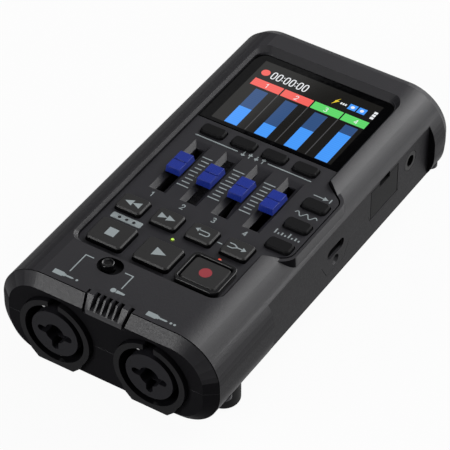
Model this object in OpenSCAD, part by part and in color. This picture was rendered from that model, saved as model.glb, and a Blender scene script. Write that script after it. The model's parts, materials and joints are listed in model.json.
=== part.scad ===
/* [Case] */
// Width of the case
case_w = 71.2; // [70.8:0.2:80]
// Length over all, from the sockets' front to the rear face
case_l = 132; // [130:1:150]
// Height of the case without its feet
case_h = 31; // [31:0.5:36]
// Clear height under the case
foot_h = 6; // [4:0.5:10]
// Wall of the case
wall = 2.2; // [1.8:0.1:2.3]
// Radius of the upper long edges
upper_r = 14; // [12:0.5:14.5]
// Radius of the lower long edges
lower_r = 13.5; // [12:0.5:14]
// Height of the joint between the covers, above the underside
split_h = 15.4; // [15:0.1:15.6]
// Length of the chamfered nose at the front
nose_l = 2.65; // [2:0.05:3.5]
// How far the front face lies in from the sides
nose_side = 3.6; // [2.5:0.1:4]
// How far the front face lies below the top
nose_top = 3.5; // [3:0.1:3.8]
// How far the front face lies above the underside
nose_bottom = 3.2; // [2.8:0.1:4]
// Rounding of the rear edges
tail_r = 3.5; // [2:0.25:5]
// Depth of the flat on the right side
side_cut = 2.2; // [2:0.1:2.4]
// Front end of the flat behind the sockets' front
flat_front = 32.6; // [30:0.1:36]
// Rear end of the flat short of the rear face
flat_rear = 9.6; // [9:0.1:11]

/* [Control panel] */
// Depth of the recess below the rim
rim_h = 2; // [1.6:0.1:2.4]
// Width of the recess floor
recess_w = 47.9; // [47.6:0.1:48.2]
// Height of the straight foot of the recess walls
recess_foot = 0.7; // [0.5:0.1:0.9]
// How far the recess walls lean out over their foot
recess_lean = 1.1; // [0.6:0.1:1.3]
// How far the recess's rear wall leans out
rear_lean = 2.1; // [1.5:0.1:2.3]
// Corner radius of the recess
recess_r = 4; // [2:0.5:6]
// Front edge of the recess floor behind the sockets' front
recess_front = 21.8; // [21.6:0.1:22]
// Thickness of the control panel
panel_t = 1.8; // [1.4:0.1:2.2]
// Thickness of the deck under the panel
deck_t = 1.2; // [0.8:0.1:1.6]
// Length of the control panel
panel_l = 64.1; // [64:0.1:65]
// Rim between the screen lens and the rear face
rear_rim = 11.4; // [10.6:0.1:12.6]
// Reach of the key ledge short of the right side
ledge_in = 4.2; // [3.6:0.1:4.6]
// Corner radius of the key ledge
ledge_r = 4; // [2:0.5:5]
// Ends of the key ledge as shares of the panel's length
ledge_rows = [0.409, 0.833];
// Gap round fixed pieces that drop into a seat
seat_gap = 0.2; // [0.1:0.05:0.3]

/* [Screen] */
// Width of the display module
display_w = 44; // [42:0.2:45]
// Lens in front of and behind the display module
display_rim = 1.8; // [1.5:0.1:2.2]
// Thickness of the display module
display_t = 3.2; // [2:0.1:4]

/* [Faders] */
// Distance between faders
fader_pitch = 10.4; // [9.6:0.1:10.8]
// Middle of the fader slots as a share of the panel's length
fader_row = 0.6537; // [0.65:0.001:0.658]
// Length of a fader slot
slot_l = 21.2; // [19:0.2:21.6]
// Width of a fader slot
slot_w = 2.6; // [2:0.1:2.8]
// Height of a fader body
fader_h = 5.6; // [5.4:0.1:6.4]
// Width of a fader body
fader_w = 7.2; // [6.6:0.1:8]
// Width of a fader lever
lever_w = 1.2; // [1:0.1:1.5]
// Length of a fader lever along the slot
lever_l = 3; // [2.4:0.1:3.6]
// Width of a fader cap
cap_w = 4.8; // [4.4:0.1:5.4]
// Length of a fader cap
cap_l = 8.2; // [7.6:0.1:9]
// Height of a fader cap
cap_h = 2.4; // [2.2:0.1:3.4]

/* [Keys] */
// Play key row as a share of the panel's length
play_row = 0.1092; // [0.106:0.001:0.112]
// Distance between the play row's keys
play_pitch = 15.5; // [15.3:0.1:15.8]
// Width and length of a play row key
play_key = [11.6, 9.8];
// Winding key row as a share of the panel's length
wind_row = 0.3183; // [0.315:0.001:0.321]
// Distance between the winding row's keys
wind_pitch = 11.6; // [11.2:0.1:12]
// Width and length of a winding row key
wind_key = [8.4, 6.6];
// Track key row as a share of the panel's length
track_row = 0.9329; // [0.93:0.001:0.936]
// Width and length of a track key
track_key = [7.6, 4];
// Corner radius of a track key
track_r = 1.2; // [0.8:0.1:1.8]
// Menu key column in from the right side
menu_in = 9.5; // [9.4:0.1:9.8]
// First menu key as a share of the panel's length
menu_row = 0.4431; // [0.44:0.001:0.446]
// Step between menu keys as a share of the panel's length
menu_step = 0.1513; // [0.147:0.001:0.154]
// Width and length of a menu key
menu_key = [7.8, 4.4];
// Corner radius of a menu key
menu_r = 1.3; // [0.9:0.1:1.9]
// How far the play row stands above the panel
play_proud = 1.6; // [1.2:0.1:2.4]
// How far the winding row stands above the panel
wind_proud = 1.4; // [1:0.1:2]
// How far rubber keys stand above the panel
rubber_proud = 1.1; // [1:0.1:1.8]
// Travel of a key
key_travel = 0.8; // [0.4:0.1:1]
// Gap round a key in the panel
key_gap = 0.25; // [0.15:0.05:0.3]
// Lip that keeps a key under the deck
key_lip = 0.6; // [0.4:0.1:0.7]
// Height of the raised frame round the record key
frame_h = 1.9; // [1:0.1:2.4]
// Width of the raised frame round the record key
frame_w = 1.1; // [0.8:0.1:1.2]
// Indicator lights as a share of the panel's length
light_row = 0.2324; // [0.229:0.001:0.235]
// Radius of an indicator light
light_r = 0.65; // [0.5:0.05:0.8]

/* [Input selector] */
// Middle of the selector's dish from the middle of the case
selector_x = -7.8; // [-8.4:0.1:-7.6]
// Middle of the selector's dish behind the sockets' front
selector_at = 16.8; // [16.5:0.1:16.9]
// Radius of the dish's ends
dish_r = 3.2; // [3:0.1:3.6]
// Depth of the dish
dish_depth = 1.3; // [0.8:0.1:1.4]
// Radius of the selector knob
knob_r = 2; // [1.8:0.1:2.2]
// Travel of the selector
selector_travel = 1.6; // [1.4:0.1:1.8]

/* [Inputs] */
// Height of the sockets' axis above the underside
input_h = 14.6; // [14.4:0.1:14.8]
// How far the sockets stand out of the front face
socket_proud = 1.6; // [1:0.1:2]
// Distance between the two input sockets
input_pitch = 31.2; // [30.6:0.1:31.6]
// Outer radius of a socket shell
shell_r = 11.6; // [11.2:0.05:11.8]
// Bore radius of a socket shell
shell_bore_r = 9.8; // [9.6:0.05:10]
// Half width of the flat foot under a shell
shell_foot = 5.8; // [5:0.1:6.4]
// How far the foot's corners are cut back
foot_cut = 2.4; // [1.5:0.1:3]
// Length of a socket shell
shell_l = 19.4; // [17:0.2:19.6]
// Radius of the socket insert
insert_r = 7.65; // [7.4:0.05:7.8]
// Radius of the jack hole
jack_r = 3.25; // [3.2:0.01:3.3]
// Length of the jack hole
jack_l = 31; // [28:0.5:33]
// Radius of a pin hole
pin_r = 1.1; // [1:0.05:1.15]
// Distance of the pin holes from the socket's axis
pin_at = 4.6; // [4.55:0.05:5]

/* [Microphone] */
// Width of the microphone grille at its lower edge
grille_w = 11.6; // [11:0.2:12]
// Gap each side of the grille
grille_gap = 1; // [0.5:0.1:1.2]
// How far the grille widens to each side towards the top
grille_flare = 0.75; // [0:0.05:1]
// Number of grille slots
grille_slots = 5; // [3:1:5]
// Width of a grille slot
grille_slot_w = 1.4; // [1:0.05:1.5]

/* [Right side] */
// Phone socket in front of the rear face
phone_at = 20.6; // [20:0.1:21.2]
// Bore radius of the phone socket
phone_r = 1.8; // [1.77:0.01:1.85]
// Depth of the phone socket's bore
phone_l = 13; // [12:0.2:13.6]
// Port cover's middle in front of the rear face
port_at = 35.7; // [35:0.1:36.2]
// Length of the port cover
port_w = 15.2; // [14.6:0.1:15.6]
// Height of the port cover
port_h = 10; // [9.6:0.1:10]
// Thickness of the port cover
port_t = 1.6; // [1.2:0.1:1.7]
// Gap round moving covers
door_gap = 0.25; // [0.2:0.05:0.3]
// Data socket's middle in front of the battery rib
data_at = 5.7; // [5.5:0.1:6.5]
// Width and height of the data socket's shell
data_shell = [8.9, 3.2];
// Length of the card slot
card_slot_w = 11.4; // [11.2:0.1:11.6]
// Height of the card slot
card_slot_h = 1.5; // [1.2:0.1:1.8]

/* [Left side] */
// Volume wheel's middle in front of the battery rib
wheel_at = 18.7; // [14:0.1:24]
// Radius of the volume wheel
wheel_r = 8; // [7:0.1:9]
// Thickness of the volume wheel
wheel_t = 2.4; // [2:0.1:2.6]
// Power switch's middle in front of the rear face
power_at = 44; // [36:0.5:46]
// Travel of the power switch
power_travel = 3; // [2:0.1:4]

/* [Power] */
// Diameter of a cell
cell_d = 14.2; // [14:0.05:14.3]
// Length of a cell with its nub
cell_l = 50.5; // [50:0.1:50.6]
// Half width of the battery door
door_x = 29; // [28.9:0.1:29.2]

/* [Fasteners and feet] */
// Radius of a foot
foot_r = 5; // [4:0.1:6]
// Feet from the middle of the case
foot_x = 26; // [24:0.1:26.4]
// Front feet behind the sockets' front
foot_front = 21.4; // [20:0.1:24]
// Feet on the battery door from the middle of the case
door_foot_x = 22; // [18:0.5:23]
// Feet on the battery door in front of the rear face
door_foot_at = 16; // [13:0.5:22]
// Radius of a screw shank
screw_r = 1.1; // [1:0.05:1.2]
// Radius of a screw head
head_r = 2.1; // [1.9:0.05:2.2]

/* [Hidden] */
$fn = 64;
facets = 32;
thin = 0.1;
fit = 0.1;
reach = 40;

case_color = "#3c3e42";
panel_color = "#37393d";
rubber_color = "#1d1e21";
blue_color = "#2338b4";
metal_color = "#a8a9ab";
dark_color = "#17181a";
board_color = "#1d5a3c";

// Levels and faces of the case
front_y = -case_l / 2;
rear_y = case_l / 2;
face_y = front_y + socket_proud;
nose_y = face_y + nose_l;
tail_y = rear_y - tail_r;
bottom_z = foot_h;
top_z = foot_h + case_h;
split_z = bottom_z + split_h;
half_w = case_w / 2;
flat_x = half_w - side_cut;
inside_x = half_w - wall;
front_wall = 2.8;
hollow_y = face_y + front_wall;

// Levels under the control panel
panel_z = top_z - rim_h;
seat_z = panel_z - panel_t;
deck_z = seat_z - deck_t;
board_top = deck_z - fader_h;
board_t = 1.6;
board_z = board_top - board_t;
board_x = inside_x - 3.4;
board_y0 = front_y + 22.6;
board_y1 = rear_y - 9;
switch_h = 2;
switch_w = 4.4;
lip_t = 0.9;

// Recess, panel and lens
recess_x = recess_w / 2;
recess_y0 = front_y + recess_front;
recess_y1 = rear_y - rear_rim;
lens_y0 = recess_y0 + panel_l + seat_gap / 2;
display_l = recess_y1 - lens_y0 - 2 * display_rim;
ledge_x = half_w - ledge_in;
menu_x = half_w - menu_in;
ledge_y0 = row_y(ledge_rows[0]);
ledge_y1 = row_y(ledge_rows[1]);
ledge_run = 5.5;
ledge_wall = 0.9;
ledge_gap = 0.4;
light_dx = 0.5;

// Faders
fader_y = row_y(fader_row);
fader_l = slot_l + 5.4;
fader_reach = slot_l / 2 - lever_l / 2 - 0.3;
carriage = [4, 5, 2.4];
lever_top = cap_h - 0.8;
trough_depth = 1.2;
trough_side = 1.5;
trough_front = 1.3;
trough_rear = 2.1;

// Input selector
stem_r = 0.6;
selector_case = [8.4, 4, 2.4];

// Microphones
capsule_r = 2.1;
capsule_x = 3;
capsule_z = panel_z - 4.2;
grille_y1 = nose_y + 1.95;
grille_low = top_z - nose_top - 1.2;
grille_pitch = 1.95;
slot_low = grille_low + 1.8;
grille_proud = 0.5;

// Inputs
axis_z = bottom_z + input_h;
tail_bore_r = 4.1;
flange_r = shell_r + 0.6;
flange_t = 2;
shell_back_t = 2;
latch_slot = [3.4, 5];
sink = 3;
earth_at = (insert_r + shell_bore_r) / 2;
earth_r = 0.6;
shell_y1 = front_y + shell_l;

// Left and right sides
phone_y = rear_y - phone_at;
phone_z = split_z + 3.8;
phone_barrel = [3.2, 6];
phone_case = [7.2, 4.8];
phone_drop = 2.2;
port_y = rear_y - port_at;
port_z0 = split_z - 2;
port_lip = 1;
finger = [5.8, 1.2];
card_h = 2.4;
card_z = board_top + card_h / 2;
card_deep = 14;
pad_t = 2.6;
pad_x = inside_x - pad_t;
wheel_z = split_z + 0.5 + wheel_t / 2;
wheel_x = -half_w + 0.1 + wheel_r;
power_y = rear_y - power_at;
power_z = split_z + 1.9;
power_case = [4.6, 10];

// Battery bay, counted from the rear wall
contact_t = 0.5;
contact_gap = 1;
contact_w = 10;
spring_r = 2.2;
nub_r = 2.7;
cell_y1 = rear_y - wall - contact_t - contact_gap;
cell_y0 = cell_y1 - cell_l;
cell_pitch = cell_d + 0.3;
cell_z = bottom_z + wall + 0.5 + cell_d / 2;
rib_t = 1.6;
rib_y = cell_y0 - contact_gap - contact_t - rib_t;
wheel_y = rib_y - wheel_at;
data_y = rib_y - data_at;
data_z = board_z - data_shell.y / 2;
data_deep = 8;
door_y0 = rib_y + rib_t + 0.2;
door_step = 0.5;
door_top = bottom_z + 5.4;
tongue_z = bottom_z + 3.2;
tongue_t = 0.7;

// Screws
screw_x = half_w - 3.3;
boss_r = 2.4;
screw_ends = [front_y + 12, rear_y - 5.5];
head_z = bottom_z + 7.5;
head_h = 1.4;
screw_top = split_z + 5;

function fader_x(i) = (i - 1.5) * fader_pitch;
function wind_x(i) = (i - 1.5) * wind_pitch;
function play_x(i) = (i - 1) * play_pitch;
function row_y(share) = recess_y0 + share * panel_l;
function menu_y(i) = row_y(menu_row + i * menu_step);

// A rounded rectangle in the plane
module rounded(size, r) {
    square([size.x - 2 * r, size.y], center = true);
    square([size.x, size.y - 2 * r], center = true);
    for (x = [-1, 1], y = [-1, 1])
        translate([x * (size.x / 2 - r), y * (size.y / 2 - r)])
            circle(r);
}

// The outline of the case seen from the front, drawn in by the given amounts
module outline(side = 0, top = 0, bottom = 0) {
    x = half_w - side;
    z0 = bottom_z + bottom;
    z1 = top_z - top;
    ru = upper_r - max(side, top);
    rl = lower_r - max(side, bottom);
    translate([-x, z0 + rl])
        square([2 * x, z1 - ru - z0 - rl]);
    translate([-x + ru, z1 - ru])
        square([2 * (x - ru), ru]);
    translate([-x + rl, z0])
        square([2 * (x - rl), rl]);
    for (s = [-1, 1]) {
        translate([s * (x - ru), z1 - ru])
            circle(ru);
        translate([s * (x - rl), z0 + rl])
            circle(rl);
    }
}

// Carries an outline seen from the front from one depth to another
module along_y(y0, y1) {
    translate([0, y1, 0])
        rotate([90, 0, 0])
            linear_extrude(y1 - y0)
                children();
}

// A box between two corners
module block(low, high) {
    translate(low)
        cube(high - low);
}

// A round rod along the case
module rod_y(x, z, r, y0, y1) {
    translate([x, y0, z])
        rotate([-90, 0, 0])
            cylinder(r = r, h = y1 - y0);
}

// A round rod across the case
module rod_x(y, z, r, x0, x1) {
    translate([x0, y, z])
        rotate([0, 90, 0])
            cylinder(r = r, h = x1 - x0);
}

// The outside of the case with its nose and rounded tail
module case_solid() {
    tail_step = tail_r * 0.3;
    along_y(nose_y, tail_y) outline();
    hull($fn = facets) {
        along_y(nose_y, nose_y + thin) outline($fn = facets * 3);
        along_y(face_y, face_y + thin) outline(nose_side, nose_top, nose_bottom, $fn = facets * 3);
    }
    hull() {
        along_y(tail_y - thin, tail_y) outline($fn = facets * 3);
        along_y(rear_y - tail_step, rear_y - tail_step + thin)
            outline(tail_step, tail_step, tail_step, $fn = facets * 3);
    }
    hull() {
        along_y(rear_y - tail_step, rear_y - tail_step + thin)
            outline(tail_step, tail_step, tail_step, $fn = facets * 3);
        along_y(rear_y - thin, rear_y) outline(tail_r, tail_r, tail_r, $fn = facets * 3);
    }
}

// The hollow of the case
module case_hollow() {
    along_y(hollow_y, rear_y - wall) outline(wall, wall, wall);
}

// The fine step where the nose meets the covers
module nose_step() {
    step = 0.35;
    along_y(nose_y, nose_y + step)
        difference() {
            offset_frame();
            outline(step, step, step);
        }
}

// A plate larger than the case's outline
module offset_frame() {
    translate([-half_w - 1, bottom_z - 1])
        square([case_w + 2, case_h + 2]);
}

// Plan of the recess, grown by an amount
module recess_plan(grow = 0) {
    length = recess_y1 - recess_y0;
    translate([0, recess_y0 + length / 2])
        rounded([recess_w + 2 * grow, length + 2 * grow], recess_r);
    ledge_plan(grow);
}

// Plan of the key ledge on the right, grown by an amount
module ledge_plan(grow = 0) {
    x0 = recess_x - recess_r;
    x1 = ledge_x + grow;
    run = ledge_run * (ledge_x - x0) / (ledge_x - recess_x);
    y0 = ledge_y0 - grow;
    y1 = ledge_y1 + grow;
    r = ledge_r + grow;
    slope = atan2(run, x1 - x0);
    back = r * tan((90 - slope) / 2);
    bend = back * [cos(slope), sin(slope)];
    polygon([
        [x0, y0 - run], [x1 - bend.x, y0 - bend.y], [x1, y0 + back],
        [x1, y1 - back], [x1 - bend.x, y1 + bend.y], [x0, y1 + run]
    ]);
    for (y = [y0 + back, y1 - back])
        translate([x1 - r, y])
            circle(r);
}

// A thin slice of the recess at a height, let out at its sides and its rear
module recess_slice(z, side, rear) {
    length = recess_y1 - recess_y0 + side + rear;
    translate([0, recess_y0 - side + length / 2, z])
        linear_extrude(thin)
            rounded([recess_w + 2 * side, length], recess_r, $fn = facets);
}

// The open space over the control panel and lens
module recess_space() {
    above = 1;
    foot_z = panel_z + recess_foot;
    out = recess_lean * (1 + above / (rim_h - recess_foot));
    back = rear_lean / rim_h;
    hull() {
        recess_slice(panel_z, -seat_gap, 0);
        recess_slice(foot_z, -seat_gap, back * recess_foot);
    }
    hull() {
        recess_slice(foot_z, 0, back * recess_foot);
        recess_slice(top_z + above, out, back * (rim_h + above));
    }
    translate([0, 0, seat_z])
        linear_extrude(panel_t + rim_h + above)
            recess_plan();
}

// Openings for keys, faders, lights and display, grown by an amount
module panel_openings(grow) {
    for (i = [0:2])
        translate([play_x(i), row_y(play_row)])
            rounded(play_key + 2 * grow * [1, 1], 1.2);
    for (i = [0:3]) {
        translate([wind_x(i), row_y(wind_row)])
            rounded(wind_key + 2 * grow * [1, 1], 1);
        translate([fader_x(i), row_y(track_row)])
            rounded(track_key + 2 * grow * [1, 1], track_r);
        translate([fader_x(i), fader_y])
            square([slot_w, slot_l] + 2 * (grow - key_gap) * [1, 1], center = true);
    }
    for (i = [0:2])
        translate([menu_x, menu_y(i)])
            rounded(menu_key + 2 * grow * [1, 1], menu_r);
    for (i = [1:2])
        translate([play_x(i) - light_dx, row_y(light_row)])
            circle(light_r + fit + grow - key_gap);
}

// Where the two input sockets pass through the front
module socket_holes() {
    for (s = [-1, 1])
        along_y(front_y - 1, hollow_y + 1) shell_outline(s * input_pitch / 2, seat_gap);
}

// A socket's round shell with its flat foot, seen from the front, grown by an amount
module shell_outline(x, grow = 0) {
    translate([x, axis_z]) {
        circle(shell_r + grow);
        for (s = [-1, 1])
            polygon([[0, 0], [s * (shell_foot + foot_cut + 0.8 + grow), -shell_r + foot_cut + 1.8],
                     [s * (shell_foot + foot_cut + grow), -shell_r + foot_cut],
                     [s * (shell_foot + grow / 2), -shell_r - grow], [0, -shell_r - grow]]);
    }
}

// The flat on the right side
module side_flat() {
    block([flat_x, front_y + flat_front, bottom_z], [flat_x + reach, rear_y - flat_rear, top_z]);
}

// The thicker wall behind the flat, between two heights
module side_pad(z0, z1) {
    block([pad_x, front_y + flat_front - wall, z0], [flat_x, rear_y - flat_rear + 0.6, z1]);
}

// Tongues of the top cover below the data socket and the port cover, seen from the right
module side_tongues(grow = 0) {
    translate([pad_x, 0, 0])
        rotate([90, 0, 90])
            linear_extrude(reach) {
                tongue(data_y, 7.6 + grow, 4.7 + grow, 5.1 + grow);
                half = port_w / 2 + grow;
                tongue(port_y, half + 1.4, half, split_z - port_z0 + port_lip + grow);
            }
}

// One tongue below the joint, wide at the joint and narrow at its end
module tongue(y, wide, narrow, drop) {
    z = split_z - drop;
    polygon([[y - wide, split_z], [y - narrow, z], [y + narrow, z], [y + wide, split_z]]);
}

// The space that the port cover closes
module port_space(grow = 0) {
    block([flat_x - port_t - grow, port_y - port_w / 2 - grow, port_z0 - grow],
          [flat_x + reach, port_y + port_w / 2 + grow, port_z0 + port_h + grow]);
}

// The dish of the input selector, seen from above
module dish_plan(r) {
    half = dish_r + 0.7 - r;
    translate([-half, -r])
        square([2 * half, 2 * r]);
    for (s = [-1, 1])
        translate([s * half, 0])
            circle(r);
}

// The side of the microphone grille and its holder, seen from the left, grown by an amount
module grille_side(proud, grow = 0) {
    y0 = face_y - 10 * grow;
    y1 = grille_y1 + grow;
    y2 = hollow_y + fit - grow;
    z0 = top_z - nose_top;
    low = grille_low - grow;
    holder = capsule_z - capsule_r - 0.7 - grow;
    polygon([[y0, low], [y0, z0 + proud], [nose_y, top_z + proud], [y1, top_z + proud],
             [y1, holder], [y2, holder], [y2, low]]);
}

// The grille's block, wider at the top, with room all round it and at its sides
module grille_block(proud, grow = 0, side = 0) {
    half = grille_w / 2 + side;
    wide = half + grille_flare;
    intersection() {
        across_x(-reach, reach)
            grille_side(proud, grow);
        along_y(front_y - reach, nose_y + reach)
            polygon([[-half, bottom_z], [-half, grille_low], [-wide, top_z], [-wide, top_z + reach],
                     [wide, top_z + reach], [wide, top_z], [half, grille_low], [half, bottom_z]]);
    }
}

// Carries a side view across the case
module across_x(x0, x1) {
    translate([x0, 0, 0])
        rotate([90, 0, 90])
            linear_extrude(x1 - x0)
                children();
}

module top_cover() {
    color(case_color)
    difference() {
        union() {
            difference() {
                union() {
                    intersection() {
                        case_solid();
                        block([-reach, -case_l, split_z], [reach, case_l, top_z + 1]);
                    }
                    ledge_platform();
                }
                difference() {
                    case_hollow();
                    translate([0, 0, deck_z])
                        linear_extrude(reach)
                            recess_plan(wall);
                }
            }
            for (s = [-1, 1], y = screw_ends)
                translate([s * screw_x, y, split_z])
                    cylinder(r = boss_r, h = screw_top - split_z + 1);
            side_pad(split_z, split_z + 8);
            intersection() {
                side_tongues();
                block([pad_x, front_y, bottom_z], [flat_x, rear_y, split_z + 1]);
            }
        }
        recess_space();
        nose_step();
        translate([0, 0, deck_z - 1])
            linear_extrude(panel_t + deck_t)
                panel_openings(key_gap + fit);
        translate([0, lens_y0 + (recess_y1 - lens_y0) / 2, deck_z - 1])
            linear_extrude(reach)
                square([display_w, display_l] + 2 * seat_gap * [1, 1], center = true);
        for (i = [0:2])
            translate([menu_x, menu_y(i), board_top])
                linear_extrude(deck_z - board_top)
                    square(menu_key + 2 * (key_lip + key_gap) * [1, 1], center = true);
        socket_holes();
        side_flat();
        port_openings();
        selector_openings();
        left_openings();
        for (s = [-1, 1], y = screw_ends)
            translate([s * screw_x, y, split_z - 1])
                cylinder(r = screw_r + fit / 2, h = screw_top - split_z + 1.3);
        grille_block(1.5, fit, grille_gap);
    }
}

// The raised part of the cover that carries the key ledge
module ledge_platform() {
    drop = 4;
    spread = 0.4;
    hull() {
        translate([0, 0, panel_z - thin])
            linear_extrude(thin)
                ledge_plan(ledge_wall, $fn = facets);
        translate([0, 0, panel_z - drop])
            linear_extrude(thin)
                ledge_plan(ledge_wall + spread, $fn = facets);
    }
}

// Openings of the right side
module port_openings() {
    port_space(door_gap);
    finger_slot();
    rod_x(phone_y, phone_z, phone_barrel[0] + fit, pad_x - 1, flat_x + 1);
    across_x(pad_x - 1, flat_x + 1)
        pill(data_y, data_z, data_shell + 2 * fit * [1, 1]);
    block([pad_x - 1, port_y - card_slot_w / 2, card_z - card_slot_h / 2],
          [flat_x, port_y + card_slot_w / 2, card_z + card_slot_h / 2]);
    translate([flat_x + 1.4, data_y, data_z - 4])
        sphere(r = 2.2);
}

// The finger slot at the port cover's upper edge
module finger_slot() {
    z = port_z0 + port_h;
    block([flat_x - 1, port_y - finger[0] / 2, z - finger[1]],
          [flat_x + reach, port_y + finger[0] / 2, z + 1]);
}

// A slot with round ends, seen from the right
module pill(y, z, size) {
    half = (size.x - size.y) / 2;
    translate([y, z]) {
        square([2 * half, size.y], center = true);
        for (s = [-1, 1])
            translate([s * half, 0])
                circle(size.y / 2);
    }
}

// Openings of the input selector in the front zone
module selector_openings() {
    y = front_y + selector_at;
    translate([selector_x, y, top_z - dish_depth])
        linear_extrude(reach)
            dish_plan(dish_r);
    half = selector_travel / 2 + stem_r + fit;
    block([selector_x - half, y - stem_r - fit, top_z - reach / 4],
          [selector_x + half, y + stem_r + fit, top_z]);
}

// Openings of the left side
module left_openings() {
    translate([wheel_x, wheel_y, split_z - 1])
        cylinder(r = wheel_r + 0.4, h = wheel_z + wheel_t / 2 + door_gap - split_z + 1);
    translate([-half_w - 5.6, wheel_y, split_z - 1])
        cylinder(r = 9, h = wheel_t + 1.8);
    knob = power_travel / 2 + 3.4;
    stem = power_travel / 2 + 1.2;
    x0 = -half_w - 1;
    block([x0, power_y - knob, split_z - 1], [-half_w + 1.5, power_y + knob, power_z + 1.7]);
    block([x0, power_y - stem, split_z - 1], [-inside_x + 1, power_y + stem, power_z + 0.8]);
}

module bottom_cover() {
    color(case_color)
    difference() {
        union() {
            difference() {
                intersection() {
                    case_solid();
                    block([-reach, -case_l, bottom_z - 1], [reach, case_l, split_z]);
                }
                case_hollow();
            }
            intersection() {
                along_y(nose_y, tail_y) outline(0.5, 0.5, 0.5);
                bottom_ribs();
            }
        }
        nose_step();
        socket_holes();
        side_flat();
        side_tongues(fit);
        for (s = [-1, 1], y = screw_ends) {
            translate([s * screw_x, y, bottom_z - 1])
                cylinder(r = head_r + 0.2, h = head_z - bottom_z + 1);
            translate([s * screw_x, y, bottom_z])
                cylinder(r = screw_r + 0.2, h = split_h + 1);
        }
        along_y(door_y0 - door_gap, rear_y + 1) door_section(door_gap);
    }
}

// Bosses, posts and the battery rib of the bottom cover
module bottom_ribs() {
    for (s = [-1, 1], y = screw_ends)
        translate([s * screw_x, y, bottom_z])
            cylinder(r = boss_r, h = split_h);
    for (s = [-1, 1])
        translate([s * 24.5, front_y + 30, bottom_z])
            cylinder(r = 2.4, h = board_z - bottom_z);
    block([-board_x + 0.5, rib_y, bottom_z], [board_x - 0.5, rib_y + rib_t, board_z]);
    side_pad(bottom_z, split_z);
}

// The battery door's section, grown by an amount; its side tongues run in the bottom cover
module door_section(grow = 0) {
    difference() {
        union() {
            translate([-door_x - grow, bottom_z - 1])
                square([2 * (door_x + grow), door_top - bottom_z + 1 + grow]);
            translate([-door_x - door_step - grow, tongue_z - grow])
                square([2 * (door_x + door_step + grow), tongue_t + 2 * grow]);
        }
        outline(wall + grow, wall + grow, wall + grow);
    }
}

module control_panel() {
    color(panel_color)
    difference() {
        translate([0, 0, seat_z])
            linear_extrude(panel_t)
                difference() {
                    panel_plan();
                    panel_openings(key_gap);
                }
        for (i = [0:3])
            translate([fader_x(i), fader_y, panel_z])
                hull() {
                    translate([0, 0, -trough_depth])
                        linear_extrude(thin)
                            square([slot_w + 0.2, slot_l + 0.2], center = true);
                    translate([-slot_w / 2 - trough_side, -slot_l / 2 - trough_front, 0])
                        cube([slot_w + 2 * trough_side, slot_l + trough_front + trough_rear, thin]);
                }
    }
}

// Plan of the control panel, clear of its seat
module panel_plan() {
    length = panel_l - seat_gap;
    translate([0, recess_y0 + seat_gap + (length - seat_gap) / 2])
        rounded([recess_w - 2 * seat_gap, length - seat_gap], recess_r - seat_gap);
    translate([0, recess_y0 + panel_l - recess_r - seat_gap])
        translate([-recess_x + seat_gap, -recess_r])
            square([recess_w - 2 * seat_gap, 2 * recess_r]);
    intersection() {
        ledge_plan(-ledge_gap);
        translate([0, recess_y0])
            square([reach, panel_l - seat_gap]);
    }
}

module screen_lens() {
    y1 = recess_y1 - seat_gap;
    color(dark_color)
    translate([0, 0, seat_z])
        linear_extrude(panel_t) {
            translate([0, (lens_y0 + y1) / 2])
                rounded([recess_w - 2 * seat_gap, y1 - lens_y0], recess_r - seat_gap);
            translate([-recess_x + seat_gap, lens_y0])
                square([recess_w - 2 * seat_gap, 2 * recess_r]);
        }
}

module display_module() {
    color("#20242c")
    translate([0, lens_y0 + (recess_y1 - lens_y0) / 2, seat_z - display_t])
        linear_extrude(display_t)
            square([display_w, display_l], center = true);
}

module main_board() {
    notch = [board_x - flat_x + phone_l + 1.4, phone_case.x / 2 + 0.6];
    color(board_color)
    difference() {
        block([-board_x, board_y0, board_z], [board_x, board_y1, board_top]);
        block([board_x - notch.x, phone_y - notch.y, board_z - 1],
              [board_x + 1, phone_y + notch.y, board_top + 1]);
    }
}

module fader_bodies() {
    reach_l = 2 * fader_reach + carriage.y + 1;
    color(metal_color)
    for (i = [0:3])
        translate([fader_x(i), fader_y, board_top])
            difference() {
                translate([-fader_w / 2, -fader_l / 2, 0])
                    cube([fader_w, fader_l, fader_h - fit]);
                translate([-carriage.x / 2 - 0.4, -reach_l / 2, 1])
                    cube([carriage.x + 0.8, reach_l, carriage.z + 1]);
                translate([-lever_w / 2 - 0.3, -slot_l / 2, 1])
                    cube([lever_w + 0.6, slot_l, fader_h]);
            }
}

module fader_lever(i) {
    color(metal_color)
    translate([fader_x(i), fader_y, board_top + 1 + fit]) {
        translate([-carriage.x / 2, -carriage.y / 2, 0])
            cube(carriage);
        translate([-lever_w / 2, -lever_l / 2, 0])
            cube([lever_w, lever_l, panel_z + lever_top - board_top - 1 - fit]);
    }
}

module fader_cap(i) {
    lift = 0.3;
    slope = [0.2, 0.3];
    groove = [0.4, 0.3];
    color(blue_color)
    translate([fader_x(i), fader_y, panel_z])
        difference() {
            hull() {
                translate([-cap_w / 2, -cap_l / 2, lift])
                    cube([cap_w, cap_l, thin]);
                translate([-cap_w / 2 + slope.x, -cap_l / 2 + slope.y, cap_h - thin])
                    cube([cap_w - 2 * slope.x, cap_l - 2 * slope.y, thin]);
            }
            translate([-cap_w, -groove.x / 2, cap_h - groove.y])
                cube([2 * cap_w, groove.x, cap_h]);
            translate([-lever_w / 2 - fit / 2, -lever_l / 2 - fit / 2, 0])
                cube([lever_w + fit, lever_l + fit, lever_top + fit]);
        }
}

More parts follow.
